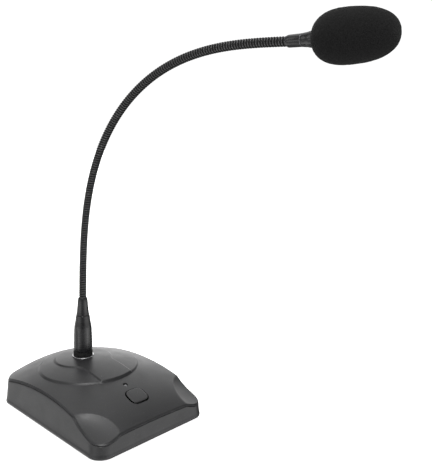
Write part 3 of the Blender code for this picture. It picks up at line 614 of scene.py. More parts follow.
def lipped_cup(name, colour, lip_z):
    """Lacquered cup whose lip, above lip_z, is polished down to the metal, unevenly round its rim."""
    look = Look(name)
    split = look.add("ShaderNodeSeparateXYZ")
    look.link(look.coords, split.inputs["Vector"])
    lip = look.spread(split.outputs["Z"], lip_z, lip_z + 0.12 * MM, 0.0, 1.0)
    uneven = look.spread(look.noise(150.0, 3.0), 0.42, 0.54, 0.1, 1.0)
    bare = look.product(lip, uneven)
    marks = look.noise(1200.0, 3.0)
    lacquer = look.mix(look.spread(marks, 0.3, 0.7, 0.0, 1.0), tinted(colour, 0.85), tinted(colour, 1.15))
    shade = look.mix(bare, lacquer, (0.75, 0.75, 0.76))
    look.link(bare, look.shader.inputs["Metallic"])
    sheen = look.spread(marks, 0.3, 0.7, 0.24, 0.36)
    return look.finish(shade, sheen, look.bump(marks, 0.1, 0.03 * MM))


def bare_metal(name, colour, roughness, stretch=(0.2, 0.2, 8.0), tarnish=0.8):
    """Plated or plain metal with drawn marks, darker patches and fine scratches."""
    look = Look(name)
    marks = look.noise(500.0, 4.0, 0.6, stretch)
    patch = look.noise(70.0, 5.0)
    shade = look.mix(look.spread(patch, 0.35, 0.7, 0.0, 1.0), colour, tinted(colour, tarnish))
    sheen = look.spread(marks, 0.3, 0.7, roughness - 0.06, roughness + 0.08)
    normal = look.bump(marks, 0.15, 0.02 * MM)
    return look.finish(shade, sheen, normal, Metallic=1.0)


def rubber(name, colour, roughness=0.78):
    """Matte rubber with a dusty bloom and a pebbled skin."""
    look = Look(name)
    pebble = look.cells(1800.0)
    dust = look.noise(120.0, 5.0)
    shade = look.mix(look.spread(dust, 0.45, 0.75, 0.0, 0.5), colour, tinted(colour, 2.2))
    sheen = look.spread(dust, 0.3, 0.7, roughness - 0.06, roughness + 0.08)
    return look.finish(shade, sheen, look.bump(pebble, 0.3, 0.05 * MM))


def ridged_coat(name):
    """Black coat over the wound neck, rubbed to smooth dark metal on the crests, with painted shade that
    darkens the coat to near black down in the grooves.
    """
    look = Look(name)
    crest = look.attribute("crest")
    uneven = look.spread(look.noise(380.0, 4.0), 0.4, 0.65, 0.1, 1.0)
    rubbed = look.product(look.spread(crest, 0.75, 1.0, 0.0, 0.6), uneven)
    # Painted shade: the colour falls from the crests to near black in the grooves, for the shade deep between
    # the wires; the crests are rubbed bare metal.
    shade = look.mix(crest, (0.001, 0.001, 0.001), (0.06, 0.06, 0.06))
    shade = look.mix(rubbed, shade, (0.15, 0.15, 0.154))
    sheen = look.spread(crest, 0.3, 1.0, 0.7, 0.14)
    normal = look.bump(look.noise(2200.0, 2.0), 0.12, 0.03 * MM)
    look.link(look.spread(crest, 0.5, 1.0, 0.0, 1.0), look.shader.inputs["Metallic"])
    return look.finish(shade, sheen, normal, Specular_IOR_Level=0.25)


def open_foam(name):
    """Fine open-cell foam: dark pores between slightly paler struts."""
    look = Look(name)
    pores = look.cells(1500.0)
    wide = look.noise(420.0, 4.0, 0.7)
    shade = look.mix(look.spread(pores, 0.1, 0.75, 0.0, 1.0), (0.016, 0.016, 0.016), (0.005, 0.005, 0.005))
    shade = look.mix(look.spread(look.noise(30.0), 0.35, 0.7, 0.0, 0.4), shade, (0.011, 0.011, 0.011))
    sheen = look.spread(wide, 0.3, 0.7, 0.92, 1.0)
    normal = look.bump(pores, 0.7, 0.35 * MM, look.bump(wide, 0.5, 0.4 * MM))
    return look.finish(shade, sheen, normal, Specular_IOR_Level=0.15, Sheen_Weight=0.03, Sheen_Roughness=0.6)


def lens(name):
    """Milky lens of an unlit light, with a faint internal cup."""
    look = Look(name)
    cup = look.noise(800.0, 3.0)
    shade = look.mix(look.spread(cup, 0.35, 0.65, 0.0, 1.0), (0.16, 0.16, 0.165), (0.24, 0.24, 0.25))
    sheen = look.spread(look.noise(300.0), 0.3, 0.7, 0.1, 0.2)
    return look.finish(shade, sheen, look.bump(look.noise(1500.0), 0.05, 0.02 * MM), Coat_Weight=0.5)


def solder_mask(name):
    """Circuit board: green mask with paler copper tracks under it."""
    look = Look(name)
    track = look.add("ShaderNodeTexBrick")
    track.inputs["Scale"].default_value = 180.0
    track.inputs["Mortar Size"].default_value = 0.035
    look.link(look.coords, track.inputs["Vector"])
    shade = look.mix(track.outputs["Fac"], (0.012, 0.075, 0.03), (0.04, 0.19, 0.08))
    sheen = look.spread(look.noise(200.0), 0.3, 0.7, 0.25, 0.4)
    return look.finish(shade, sheen, look.bump(track.outputs["Fac"], 0.2, 0.05 * MM))


def studio_floor(name):
    """Plain pale paper with barely visible unevenness."""
    look = Look(name)
    shade = look.mix(look.spread(look.noise(3.0), 0.3, 0.7, 0.0, 1.0), (0.93, 0.93, 0.93), (0.95, 0.95, 0.95))
    sheen = look.spread(look.noise(8.0), 0.3, 0.7, 0.85, 0.95)
    glow = {"Emission_Color": (1.0, 1.0, 1.0, 1.0), "Emission_Strength": FLOOR_GLOW}
    return look.finish(shade, sheen, look.bump(look.noise(400.0), 0.02, 0.05 * MM), **glow)


BLACK = (0.021, 0.021, 0.022)
SHELL = moulded_plastic("shell_plastic", BLACK, (0.1, 0.1, 0.102), 0.36)
BUTTON = moulded_plastic("button_plastic", (0.026, 0.026, 0.027), (0.07, 0.07, 0.072), 0.4, 3200.0, 0.16)
INSERT = moulded_plastic("insert_plastic", (0.025, 0.025, 0.026), (0.07, 0.07, 0.07), 0.5)
CHIP = moulded_plastic("chip_plastic", (0.02, 0.02, 0.022), (0.06, 0.06, 0.06), 0.6, 1800.0, 0.4)
PLUG = lacquered_metal("plug_lacquer", (0.009, 0.009, 0.01), (0.08, 0.08, 0.08), 0.26)
SOCKET = lacquered_metal("socket_lacquer", (0.02, 0.02, 0.021), (0.2, 0.2, 0.2), 0.3, 0.4)
HEAD = lacquered_metal("head_lacquer", (0.012, 0.012, 0.013), (0.1, 0.1, 0.1), 0.27, 0.25, (6.0, 0.5, 6.0))
NECK = ridged_coat("gooseneck_coat")
CUP = lipped_cup("socket_cup_lacquer", (0.008, 0.008, 0.009), SOCKET_TOP_Z - 0.3 * MM)
GRIP = rubber("grip_rubber", (0.003, 0.003, 0.003), 0.85)
PAD = rubber("pad_rubber", (0.018, 0.018, 0.018))
SHEATH = rubber("cable_sheath", (0.014, 0.014, 0.015), 0.55)
FOAM = open_foam("windscreen_foam")
ZINC = bare_metal("zinc_plate", (0.5, 0.5, 0.52), 0.38, (1.0, 1.0, 1.0))
WEIGHT = bare_metal("rolled_steel", (0.3, 0.3, 0.31), 0.5, (0.3, 6.0, 1.0), 0.6)
BLACK_SCREW = bare_metal("black_oxide", (0.05, 0.05, 0.052), 0.4, (1.0, 1.0, 1.0))
CONTACT = bare_metal("contact_nickel", (0.72, 0.7, 0.66), 0.22)
TRIM = bare_metal("trim_nickel", (0.2, 0.2, 0.21), 0.3)
CAN = bare_metal("aluminium_can", (0.6, 0.6, 0.61), 0.35)
LED_LENS = lens("led_lens")
BOARD = solder_mask("board_laminate")


# ---------------------------------------------------------------- base


def build_top_shell():
    """Dome, scooped corners, raised disc with its keyhole band, rounded rim and the tongue inside."""
    rim = ((0.95, 0.0), (0.55, 0.1), (0.25, 0.28), (0.07, 0.55), (0.0, 0.9))
    edge = wall_ring(BEAD_DEPTH + rim[0][0] * MM, top_z)
    rings = [surface_ring(edge, share, top_z) for share in np.linspace(0.012, 1.0, TOP_RINGS)]
    for inset, drop in rim[1:]:
        lift = SEAM_DROP - drop * MM
        rings.append(wall_ring(BEAD_DEPTH + inset * MM, lambda x, y, lift=lift: lower_rim_z(x, y) + lift))
    tongue = BEAD_DEPTH + WALL + GAP
    rings.append(wall_ring(tongue, upper_rim_z))
    rings.append(wall_ring(tongue, tongue_foot_z))
    rings.append(wall_ring(tongue + TONGUE_WIDTH, tongue_foot_z))
    inside = wall_ring(tongue + TONGUE_WIDTH, inner_top_z)
    rings.append(inside)
    rings += [surface_ring(inside, share, inner_top_z) for share in (0.9, 0.7, 0.45, 0.2)]
    zero = np.zeros(1)
    poles = (0, 0, float(top_z(zero, zero)[0])), (0, 0, float(crown_z(0.0, 0.0)) - WALL)
    shell = lofted("top_shell", rings, SHELL, poles=poles)
    low, high = 20 * MM, 60 * MM
    button = widened_rectangle(BUTTON_HALF_X, BUTTON_HALF_Y, BUTTON_RADIUS, BUTTON_GAP, 12)
    socket_hole = tube_shape(SOCKET_OUTER_R + SOCKET_PLAY, low, high, at(0, COLUMN_Y), 96)
    led_hole = tube_shape(LED_HOLE_R, low, high, at(0, LED_Y))
    button_hole = plate_shape(button, low, high, at(0, BUTTON_Y))
    carve(shell, [socket_hole, led_hole, button_hole])
    place(shell, "base", "base_top_shell")


def outlet_frame():
    slope = math.atan(DRAFT)
    face_y = BASE_HALF_Y - BEAD_DEPTH - OUTLET_Z * DRAFT
    out = Vector((0, math.cos(slope), math.sin(slope)))
    return axis_frame(Vector((0, face_y, OUTLET_Z)), out, Vector((1, 0, 0)))


def cut_lower_shell(shell):
    """Adds the screw posts, then cuts the pad's recess, the rear connector's opening and the screw holes."""
    low, high = -8 * MM, 4 * MM
    posts = [tube_shape(POST_R, FLOOR_TOP_Z - MM, POST_TOP_Z, at(x, y), 32) for x, y in CASE_SCREWS.values()]
    carve(shell, posts, "UNION")
    pad = widened_rectangle(PAD_HALF_X, PAD_HALF_Y, PAD_RADIUS, GAP, 10)
    carve(shell, [plate_shape(pad, -MM, PAD_THICK + GAP, at(0, 0))])
    rear = outlet_frame()
    cuts = [tube_shape(OUTLET_BARREL_R + GAP, low, high, rear, 64)]
    for x, z in OUTLET_SCREWS.values():
        cuts.append(tube_shape(FLANGE_SCREW_HOLE_R, low, high, rear @ at(x, z), 24))
    for x, y in CASE_SCREWS.values():
        cuts.append(tube_shape(CASE_SCREW_HOLE_R, -MM, CASE_SCREW_SEAT_Z + GAP, at(x, y), 40))
    carve(shell, cuts)


def build_lower_shell():
    """Drafted tub with a rolled bead round its foot and a rounded rim under the seam."""
    bead_top = FLOOR_Z + BEAD_HEIGHT
    foot = ((1.6, 0.0), (0.75, 0.08), (0.25, 0.35), (0.0, 0.85))
    rings = [wall_ring(inset * MM, FLOOR_Z + rise * MM) for inset, rise in foot]
    for inset, rise in ((0.0, 0.0), (0.1, 0.25), (0.45, 0.55), (0.85, 0.8), (1.0, 1.0)):
        rings.append(wall_ring(inset * BEAD_DEPTH, bead_top + rise * BEAD_FADE))
    wall_foot = bead_top + BEAD_FADE
    wall_head = 0.35 * MM
    for share in (0.2, 0.4, 0.6, 0.8, 0.93):

        def between(x, y, share=share):
            return wall_foot * (1 - share) + (lower_rim_z(x, y) - wall_head) * share

        rings.append(wall_ring(BEAD_DEPTH, between))
    for inset, drop in ((0.0, 0.35), (0.08, 0.12), (0.35, 0.0)):
        rings.append(wall_ring(BEAD_DEPTH + inset * MM, lambda x, y, d=drop: lower_rim_z(x, y) - d * MM))
    rings.append(wall_ring(BEAD_DEPTH + WALL, lower_rim_z))
    rings.append(wall_ring(BEAD_DEPTH + WALL, FLOOR_TOP_Z))
    shell = lofted("lower_shell", rings, SHELL, poles=((0, 0, FLOOR_Z), (0, 0, FLOOR_TOP_Z)))
    cut_lower_shell(shell)
    place(shell, "base", "base_lower_shell")


def cross_recess(radius, depth, matrix):
    """The two crossed bars that cut a screw's recess."""
    width = 0.22 * radius
    bars = []
    for long_x in (True, False):
        half = (0.62 * radius, width) if long_x else (width, 0.62 * radius)
        outline = rounded_rectangle(half[0], half[1], 0.6 * width, 3)
        bars.append(plate_shape(outline, -depth, depth, matrix))
    return bars


def build_screw(name, node, size, matrix, material, slot):
    """Pan head with a cross recess, and a shaft with thread ridges that are plain rings. It runs up +Z."""
    radius, head, shaft, length = size
    profile = [(0.02 * radius, -head)]
    for angle in np.linspace(5, 85, 8):
        a = math.radians(angle)
        profile.append((radius * math.sin(a), -head * (0.35 + 0.65 * math.cos(a))))
    profile += [(radius, -0.2 * head), (0.97 * radius, 0.0), (shaft, 0.0)]
    turns = int((length - 1.5 * shaft) / THREAD_PITCH)
    for i in range(turns):
        z = 0.4 * MM + i * THREAD_PITCH
        profile += [(0.84 * shaft, z), (shaft, z + 0.22 * MM)]
    profile += [(0.84 * shaft, length - shaft), (0.35 * shaft, length)]
    screw = turned(name, profile, material, sides=32, sharp=50)
    for bar in cross_recess(radius, 0.65 * head, at(0, 0, -head)):
        carve(screw, [bar], sharp=40)
    screw.data.transform(matrix)
    place(screw, "base", node)


def build_base_screws():
    for where, (x, y) in CASE_SCREWS.items():
        matrix = at(x, y, CASE_SCREW_SEAT_Z)
        build_screw(f"screw_{where}", f"case_screw_{where}", CASE_SCREW, matrix, ZINC, "screw_steel")
    rear = outlet_frame()
    for side, (x, z) in OUTLET_SCREWS.items():
        matrix = rear @ at(x, z, OUTLET_FACE + GAP) @ Matrix.Rotation(math.pi, 4, "X")
        names = f"flange_screw_{side}", f"socket_screw_{side}"
        build_screw(*names, FLANGE_SCREW, matrix, BLACK_SCREW, "black_screw")


def build_pad():
    """Rubber sheet with rounded edges and shallow moulded grooves across its underside."""
    insets = ((0.6, 0.0), (0.15, 0.15), (0.0, 0.5), (0.0, 1.3), (0.3, 1.6))
    rings = []
    for inset, z in insets:
        outline = widened_rectangle(PAD_HALF_X, PAD_HALF_Y, PAD_RADIUS, -inset * MM, 10)
        rings.append(flat_ring(outline, z * MM))
    pad = lofted("rubber_pad", rings, PAD)
    above = PAD_THICK + MM
    holes = [tube_shape(CASE_SCREW_HOLE_R, -MM, above, at(x, y), 40) for x, y in CASE_SCREWS.values()]
    carve(pad, holes)
    outline = rounded_rectangle(PAD_GROOVE_HALF_X, PAD_GROOVE_HALF_Y, 0.5 * MM, 2)
    grooves = []
    for i in range(-PAD_GROOVES_TO_SIDE, PAD_GROOVES_TO_SIDE + 1):
        y = i * PAD_GROOVE_PITCH
        if min(abs(y - screw_y) for _, screw_y in CASE_SCREWS.values()) > CASE_SCREW_HOLE_R + MM:
            grooves.append(plate_shape(outline, -0.5 * MM, PAD_GROOVE_DEPTH, at(0, y)))
    carve(pad, grooves)
    place(pad, "base", "anti_slip_pad")


def build_button():
    """Talk button: a domed cap over an undercut side, a little to the right and back in its hole."""
    outline = rounded_rectangle(BUTTON_HALF_X, BUTTON_HALF_Y, BUTTON_RADIUS, 16, 6, 4)

    def cap_ring(share, lift):
        x, y = outline[:, 0] * share, outline[:, 1] * share
        z = crown_z(x, y + BUTTON_Y) + BUTTON_PROUD + lift
        return np.c_[x + BUTTON_PLAY, y + BUTTON_Y + BUTTON_PLAY, z]

    rings = [cap_ring(share, -BUTTON_THICK) for share in (0.2, 0.5, 0.83)]
    rings += [cap_ring(0.87, -BUTTON_THICK + 0.4 * MM), cap_ring(0.87, -0.6 * MM), cap_ring(0.985, -0.4 * MM)]
    rings += [cap_ring(1.0, -0.25 * MM), cap_ring(0.99, -0.08 * MM), cap_ring(0.97, 0.04 * MM)]
    rings += [cap_ring(s, (0.1 + 0.15 * (1 - s * s)) * MM) for s in (0.93, 0.8, 0.6, 0.4, 0.2, 0.05)]
    top = crown_z(0.0, BUTTON_Y) + BUTTON_PROUD
    low = top - BUTTON_THICK
    middle_y = BUTTON_Y + BUTTON_PLAY
    poles = (BUTTON_PLAY, middle_y, low), (BUTTON_PLAY, middle_y, top + 0.25 * MM)
    cap = lofted("talk_button", rings, BUTTON, poles=poles)
    carve(cap, [tube_shape(BUTTON_STEM_R, BUTTON_STEM_Z, low + 1.2 * MM, at(0, BUTTON_Y), 24)], "UNION")
    place(cap, "button", "button_cap")


def build_status_light():
    """Domed lens, sunk a little in its hole behind the button."""
    top = float(crown_z(0.0, LED_Y)) - LED_SINK
    dome = 1.1 * MM
    profile = [(0.02 * MM, LED_FOOT_Z), (LED_R, LED_FOOT_Z), (LED_R, top - dome)]
    for angle in np.linspace(8, 88, 10):
        a = math.radians(angle)
        profile.append((LED_R * math.cos(a), top - dome * (1 - math.sin(a))))
    led = turned("status_light", profile, LED_LENS, at(0, LED_Y), sides=40)
    place(led, "base", "status_led")


def build_output_flange(rear):
    """Rounded flange with a raised rim round a deep, chamfered bore."""
    insets = ((0.35, GAP / MM), (0.0, 0.55), (0.0, 1.5), (0.2, 1.9), (0.6, OUTLET_FACE / MM))
    rings = []
    for inset, z in insets:
        outline = widened_rectangle(OUTLET_HALF_X, OUTLET_HALF_Z, 3 * MM, -inset * MM, 8)
        rings.append(flat_ring(outline, z * MM))
    shell = lofted("output_socket", rings, SOCKET)
    carve(shell, [tube_shape(OUTLET_BARREL_R, -OUTLET_DEPTH, MM, at(0, 0), 72)], "UNION")
    cuts = [tube_shape(OUTLET_BORE_R, -OUTLET_DEPTH - MM, 3 * MM, at(0, 0), 72)]
    for x, z in OUTLET_SCREWS.values():
        cuts.append(tube_shape(FLANGE_SCREW_HOLE_R, -MM, 3 * MM, at(x, z), 24))
    carve(shell, cuts)
    inner = turned_ring(OUTLET_BORE_R - 0.2 * MM, 1.5 * MM)
    outer = turned_ring(OUTLET_BORE_R + 0.9 * MM, 2.6 * MM)
    carve(shell, [(*loft((inner, outer)), at(0, 0))])
    shell.data.transform(rear)
    place(shell, "base", "output_socket_shell")


def build_output_pins(rear):
    outline = [(0.05, -18.0), (1.2, -18.0), (1.2, -6.0), (0.5, -5.05), (0.02, -5.0)]
    profile = softened_mm(outline, 0.7 * MM, 4)
    for number, angle in enumerate((90.0, 210.0, 330.0), 1):
        a = math.radians(angle)
        matrix = rear @ at(OUTLET_PIN_CIRCLE_R * math.cos(a), OUTLET_PIN_CIRCLE_R * math.sin(a))
        pin = turned(f"socket_pin_{number}", profile, CONTACT, matrix, sides=28)
        place(pin, "base", f"output_pin_{number}")


def build_output_socket():
    rear = outlet_frame()
    build_output_flange(rear)
    build_output_pins(rear)


def build_neck_socket():
    """Cup that the neck's plug stands in, with a rounded bright-edged lip."""
    floor = SOCKET_FLOOR_Z + SOCKET_FLOOR_THICK
    outer = [(0.05 * MM, SOCKET_FLOOR_Z), (SOCKET_OUTER_R, SOCKET_FLOOR_Z), (SOCKET_OUTER_R, SOCKET_TOP_Z)]
    inner = [(SOCKET_BORE_R, SOCKET_TOP_Z), (SOCKET_BORE_R, floor), (0.05 * MM, floor)]
    cup = turned("neck_socket", softened(outer + inner, 0.45 * MM, 4), CUP, at(0, COLUMN_Y), sides=96)
    place(cup, "base", "neck_socket_cup")


# ---------------------------------------------------------------- plug and sleeve at the neck's foot


def build_plug_barrel(column):
    outer = [
        (9.15, 31.0), (9.55, 31.6), (9.55, 48.7), (8.9, 48.8), (8.9, 53.5), (9.5, 53.6), (9.56, 58.0),
        (9.52, 62.4), (9.4, 67.0), (9.26, 71.5), (9.12, 76.0), (8.9, 79.3), (8.66, 81.0), (8.35, 82.6),
        (7.78, 85.7), (7.35, 89.0), (6.98, 91.4), (6.9, 92.2),
    ]  # fmt: skip
    inner = [(4.9, 92.2), (4.9, 78.0), (6.4, 74.0), (6.4, 57.0), (7.9, 56.0), (7.9, 31.0)]
    profile = softened_mm(outer + inner, 0.6 * MM)
    barrel = turned("plug_body", profile, PLUG, column, loop=True, sides=96)
    place(barrel, "plug", "plug_barrel")


def build_plug_grip(column):
    """Rubber ring with five ribs, in the barrel's waist just above the socket's lip."""
    outline = [(9.2, 49.0), (9.7, 49.0)]
    for i in range(5):
        z = 49.35 + i * 0.85
        outline += [(9.86, z), (9.86, z + 0.4), (9.66, z + 0.5), (9.66, z + 0.72)]
    outline += [(9.6, 53.3), (9.2, 53.3)]
    profile = softened_mm(outline, 0.08 * MM, 2)
    ring = turned("plug_grip", profile, GRIP, column, loop=True, sides=96)
    place(ring, "plug", "plug_grip_ring")


def build_sleeve(column):
    outline = [
        (4.15, 84.0), (4.6, 84.0), (4.6, 92.6), (6.5, 92.62), (6.55, 93.0), (6.1, 95.6), (5.76, 98.8),
        (5.5, 102.0), (5.26, 105.3), (5.05, 107.6), (4.8, 109.3), (4.4, 110.6), (4.15, 110.8),
    ]  # fmt: skip
    profile = softened_mm(outline, 0.5 * MM)
    tube = turned("tapered_sleeve", profile, PLUG, column, loop=True, sides=96)
    place(tube, "plug", "strain_sleeve")


def build_plug():
    column = at(0, COLUMN_Y)
    build_plug_barrel(column)
    build_plug_grip(column)
    build_sleeve(column)


# ---------------------------------------------------------------- gooseneck


def lean_at(s):
    """The neck's lean from upright at a distance s along it."""
    share = np.clip(s / NECK_LENGTH, 0.0, 1.0) ** NECK_EASE
    return NECK_LEAN_START + (NECK_LEAN_END - NECK_LEAN_START) * share * share * (3 - 2 * share)


def neck_directions(lean):
    forward = Vector((math.sin(NECK_SWING), -math.cos(NECK_SWING), 0))
    up = Vector((0, 0, 1))
    tangent = forward * math.sin(lean) + up * math.cos(lean)
    side = up * math.sin(lean) - forward * math.cos(lean)
    return tangent, side


def neck_point(s):
    start = Vector((0, COLUMN_Y, NECK_START_Z))
    if s <= 0:
        return start + Vector((0, 0, s))
    along = min(s, NECK_LENGTH)
    step = along / 96
    total = Vector((0, 0, 0))
    for i in range(96):
        total += neck_directions(lean_at((i + 0.5) * step))[0] * step
    return start + total + neck_directions(HEAD_LEAN)[0] * (s - along)


def neck_frame(s):
    lean = 0.0 if s <= 0 else (HEAD_LEAN if s > NECK_LENGTH else lean_at(s))
    tangent, side = neck_directions(lean)
    return axis_frame(neck_point(s), tangent, side)


def ridge_share(s, turn):
    """1 on a crest of the wound wire and 0 in the groove, at a place along the neck and round it."""
    wave = 0.5 + 0.5 * np.cos(2 * np.pi * (s / RIDGE_PITCH) - turn)
    return smooth((wave - 0.25) / 0.6)


def build_neck_length(name, start, end, turn):
    """One length of ridged tube with a plain bore. turn holds the angles of its sides."""
    steps = max(4, int((end - start) / (RIDGE_PITCH / RIDGE_STEPS)))
    knots = np.linspace(start, end, 48)
    frames = [neck_frame(s) for s in knots]
    rings, crests = [], []
    for s in np.linspace(start, end, steps + 1):
        at_knot = (s - start) / (end - start) * (len(knots) - 1)
        k = min(int(at_knot), len(knots) - 2)
        near, far = frames[k], frames[k + 1]
        blend = at_knot - k
        origin = near.translation.lerp(far.translation, blend)
        axes = near.to_quaternion().slerp(far.to_quaternion(), blend).to_matrix()
        crest = ridge_share(s, turn)
        radius = NECK_R - RIDGE_DEPTH * (1 - crest)
        local = np.c_[radius * np.cos(turn), radius * np.sin(turn), np.zeros(len(turn))]
        rings.append(local @ np.array(axes).T + np.array(origin))
        crests.append(crest)
    for s in np.linspace(end, start, 12):
        bore = np.c_[turned_ring(NECK_BORE_R, 0.0, len(turn)), np.ones(len(turn))]
        rings.append((bore @ np.array(neck_frame(s)).T)[:, :3])
        crests.append(np.zeros(len(turn)))
    piece = lofted(name, rings, NECK, loop=True, sharp=80)
    values = np.concatenate(crests).astype(np.float32)
    piece.data.attributes.new("crest", "FLOAT", "POINT").data.foreach_set("value", values)
    return piece


def build_neck():
    """Eight lengths that meet halfway between the joints, each following the neck's curve over the joint
    inside it.
    """
    span = (LAST_JOINT_S - FIRST_JOINT_S) / SEGMENTS
    joints = [FIRST_JOINT_S + span * i for i in range(SEGMENTS + 1)]
    middles = [s + span / 2 for s in joints[:-1]]
    bounds = [NECK_ROOT_S] + middles + [NECK_LENGTH + TIP_END]
    nodes = ["gooseneck_root"] + [f"gooseneck_{i}" for i in range(1, SEGMENTS + 1)] + ["gooseneck_tip"]
    turn = np.linspace(0, 2 * np.pi, NECK_SIDES, endpoint=False)
    for i, joint_s in enumerate(joints):
        start, end = bounds[i], bounds[i + 1]
        reach = min(span / 2, joint_s - start, end - joint_s, NECK_LENGTH - joint_s)
        if i == 0:
            reach = FIRST_BEND_REACH
        piece = build_neck_length(f"wound_neck_{i + 1}", start, end, turn)
        low, high = neck_point(joint_s - reach), neck_point(joint_s + reach)
        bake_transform(piece)
        covered = [nodes[i]] if i < SEGMENTS else [nodes[i], nodes[i + 1]]
        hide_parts(*covered)


# ---------------------------------------------------------------- head


def head_frame():
    """The head's axis: straight on from just past the neck's end."""
    return neck_frame(NECK_LENGTH + 0.01 * MM)


def build_head():
    """Collar, bright trim ring and capsule housing, each a turned ring round the head's axis."""
    matrix = head_frame()
    collar = [(4.15, 1.7), (4.4, 1.7), (4.68, 2.7), (4.74, 4.6), (4.8, 8.0), (4.85, 13.3), (4.15, 13.3)]
    profile = softened_mm(collar, 0.3 * MM)
    piece = turned("neck_collar", profile, HEAD, matrix, loop=True)
    place(piece, "head", "head_collar")
    trim = [(4.3, 13.4), (4.96, 13.4), (4.96, 14.1), (4.3, 14.1)]
    profile = softened_mm(trim, 0.25 * MM)
    piece = turned("trim_ring", profile, TRIM, matrix, loop=True)
    place(piece, "head", "collar_trim_ring")
    housing = [
        (3.4, 14.2), (5.0, 14.2), (5.2, 15.9), (5.45, 18.4), (6.02, 20.8), (6.2, 24.0), (6.2, 60.9),
        (5.3, 61.0), (5.3, 26.0), (3.4, 18.0),
    ]  # fmt: skip
    profile = softened_mm(housing, 0.8 * MM)
    piece = turned("capsule_body", profile, HEAD, matrix, loop=True)
    place(piece, "head", "capsule_housing")


def foam_radius(share):
    swell = np.maximum(0.0, 1 - np.abs(share) ** FOAM_POWER) ** (1 / FOAM_POWER)
    return FOAM_DIAMETER / 2 * swell * (1 - FOAM_TAPER * share)


def cell_noise(points, scale, seed):
    """Smooth value noise at points, for the foam's cells."""
    rng = np.random.default_rng(seed)
    table = rng.random(4096)
    cell = np.floor(points * scale).astype(int)
    share = points * scale - cell
    share = share * share * (3 - 2 * share)
    total = np.zeros(len(points))
    for corner in range(8):
        step = np.array([corner & 1, corner >> 1 & 1, corner >> 2 & 1])
        key = (cell + step) @ np.array([73, 1931, 311])
        weight = np.prod(np.where(step, share, 1 - share), axis=1)
        total += table[key % 4096] * weight
    return total


def foam_rings():
    """Rings up the blind bore, over the drawn-in mouth and along the outside, and how many are inside."""
    middle = FOAM_START + FOAM_LENGTH / 2
    shares = -np.cos(np.pi * (np.arange(FOAM_STEPS) + 0.5) / FOAM_STEPS)
    outside = [(foam_radius(s), middle + s * FOAM_LENGTH / 2) for s in shares]
    outside = [(r, z) for r, z in outside if r > FOAM_BORE_R + 0.9 * MM or z > middle]
    mouth_z = outside[0][1]
    mouth = [(FOAM_BORE_R, mouth_z + 2.0 * MM), (FOAM_BORE_R + 0.15 * MM, mouth_z + 0.8 * MM)]
    mouth.append((FOAM_BORE_R + 0.5 * MM, mouth_z + 0.15 * MM))
    bore = [(FOAM_BORE_R, z) for z in np.linspace(FOAM_BORE_END, mouth_z + 3 * MM, 12)]
    inside = bore + mouth
    return [turned_ring(r, z, FOAM_SIDES) for r, z in inside + outside], len(inside)


def roughen_foam(mesh, first_outside):
    """Sinks pores and slow dents into the skin, from the given vertex on."""
    flat = np.empty(len(mesh.vertices) * 3)
    mesh.vertices.foreach_get("co", flat)
    points = flat.reshape(-1, 3)
    flat = np.empty(len(mesh.vertices) * 3)
    mesh.vertex_normals.foreach_get("vector", flat)
    normals = flat.reshape(-1, 3)
    pores = cell_noise(points, 1200.0, 3) * 0.6 + cell_noise(points, 620.0, 5) * 0.4
    depth = 0.28 * MM * (pores - 0.62)
    depth += 0.12 * MM * (cell_noise(points, 60.0, 8) - 0.5)
    depth[:first_outside] = 0.0
    depth[-2:] = 0.0
    mesh.vertices.foreach_set("co", (points + normals * depth[:, None]).ravel())
    mesh.update()


def build_foam():
    """Windscreen with a porous outside and a drawn-in mouth round its blind bore."""
    rings, inside = foam_rings()
    poles = (0, 0, FOAM_BORE_END), (0, 0, FOAM_START + FOAM_LENGTH)
    piece = lofted("foam_ball", rings, FOAM, poles=poles, sharp=180)
    roughen_foam(piece.data, inside * FOAM_SIDES)
    piece.data.transform(head_frame())
    place(piece, "foam", "foam_windscreen")


# ---------------------------------------------------------------- CAD nodes that keep their shape


def paint_cad_nodes():
    looks = {
        "board_laminate": BOARD,
        "cable_sheath": SHEATH,
        "capacitor_can": CAN,
        "capsule_can": CAN,
        "chip_plastic": CHIP,
        "contact_metal": CONTACT,
        "grip_rubber": GRIP,
        "head_metal": HEAD,
        "insert_plastic": INSERT,
        "screw_steel": ZINC,
        "weight_steel": WEIGHT,
    }
    slots = {s["node"]: s["material_slot"] for s in frame["record"]["subparts"]}
    for node, obj in frame["nodes"].items():
        if obj.hide_render:
            continue
        look = looks[slots[node]]
        obj.data.materials.clear()
        obj.data.materials.append(look)


# ---------------------------------------------------------------- studio


def add_camera():
    """Camera off the base's front left corner, 300 mm up and tipped a little down."""
    level_forward = Vector((math.sin(CAMERA_YAW), math.cos(CAMERA_YAW), 0))
    forward = level_forward * math.cos(CAMERA_PITCH) - Vector((0, 0, math.sin(CAMERA_PITCH)))
    level = forward.cross(Vector((0, 0, 1))).normalized()
    down = forward.cross(level)
    right = level * math.cos(CAMERA_ROLL) + down * math.sin(CAMERA_ROLL)
    lower = down * math.cos(CAMERA_ROLL) - level * math.sin(CAMERA_ROLL)
    data = bpy.data.cameras.new("camera")
    data.lens = CAMERA_LENS
    data.sensor_width = 36.0
    data.clip_start = 0.01
    data.clip_end = 50.0
    camera = bpy.data.objects.new("camera", data)
    rotation = Matrix((right, -lower, -forward)).transposed().to_4x4()
    camera.matrix_world = Matrix.Translation(CAMERA_PLACE) @ rotation
    bpy.context.scene.collection.objects.link(camera)
    bpy.context.scene.camera = camera


def math_node(tree, operation, *values):
    """A math node whose inputs are given as numbers or sockets."""
    node = tree.nodes.new("ShaderNodeMath")
    node.operation = operation
    for value, socket in zip(values, node.inputs):
        if isinstance(value, float):
            socket.default_value = value
        else:
            tree.links.new(value, socket)
    return node.outputs["Value"]


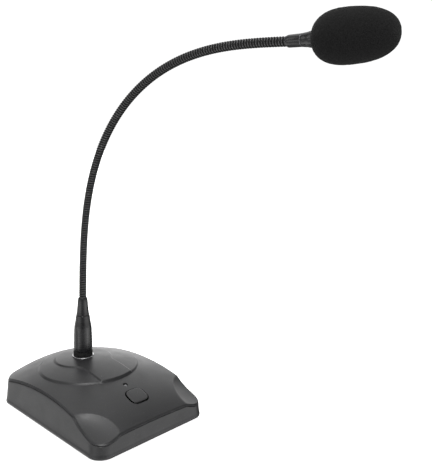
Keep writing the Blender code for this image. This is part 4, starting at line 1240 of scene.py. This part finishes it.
def light_zone(tree, direction, azimuth, elevation, sharpness, level):
    """A soft round light that fades away from its middle as exp(sharpness * (cosine - 1))."""
    turn, rise = math.radians(azimuth), math.radians(elevation)
    facing = tree.nodes.new("ShaderNodeVectorMath")
    facing.operation = "DOT_PRODUCT"
    facing.inputs[1].default_value = (
        math.cos(turn) * math.cos(rise), math.sin(turn) * math.cos(rise), math.sin(rise),
    )  # fmt: skip
    tree.links.new(direction, facing.inputs[0])
    peak = math.log(level) - sharpness
    falloff = math_node(tree, "MULTIPLY_ADD", facing.outputs["Value"], float(sharpness), peak)
    return math_node(tree, "EXPONENT", falloff)


def add_world():
    """Dark studio with soft light zones all round, and plain white where the camera looks past the object."""
    world = bpy.data.worlds.new("studio")
    world.use_nodes = True
    tree = world.node_tree
    direction = tree.nodes.new("ShaderNodeTexCoord").outputs["Generated"]
    total = light_zone(tree, direction, *LIGHT_ZONES[0])
    for zone in LIGHT_ZONES[1:]:
        total = math_node(tree, "ADD", total, light_zone(tree, direction, *zone))
    surround = tree.nodes["Background"]
    tree.links.new(total, surround.inputs["Color"])
    backdrop = tree.nodes.new("ShaderNodeBackground")
    backdrop.inputs["Color"].default_value = (1.0, 1.0, 1.0, 1.0)
    backdrop.inputs["Strength"].default_value = BACKDROP_LEVEL
    seen = tree.nodes.new("ShaderNodeLightPath")
    choose = tree.nodes.new("ShaderNodeMixShader")
    tree.links.new(seen.outputs["Is Camera Ray"], choose.inputs[0])
    tree.links.new(surround.outputs["Background"], choose.inputs[1])
    tree.links.new(backdrop.outputs["Background"], choose.inputs[2])
    tree.links.new(choose.outputs["Shader"], tree.nodes["World Output"].inputs["Surface"])
    bpy.context.scene.world = world


def add_floor():
    """Plain pale floor that only the camera sees, so that the light zones alone shade the object."""
    mesh = bpy.data.meshes.new("floor")
    half = FLOOR_HALF
    corners = [(-half, -half, 0), (half, -half, 0), (half, half, 0), (-half, half, 0)]
    mesh.from_pydata(corners, [], [(0, 1, 2, 3)])
    mesh.materials.append(studio_floor("paper"))
    floor = bpy.data.objects.new("floor", mesh)
    bpy.context.scene.collection.objects.link(floor)
    floor.visible_glossy = False
    floor.visible_diffuse = False
    floor.visible_shadow = False


build_top_shell()
build_lower_shell()
build_base_screws()
build_pad()
build_button()
build_status_light()
build_output_socket()
build_neck_socket()
build_plug()
build_neck()
build_head()
build_foam()
paint_cad_nodes()
add_camera()
add_world()
add_floor()
bpy.context.scene.view_settings.view_transform = "Standard"
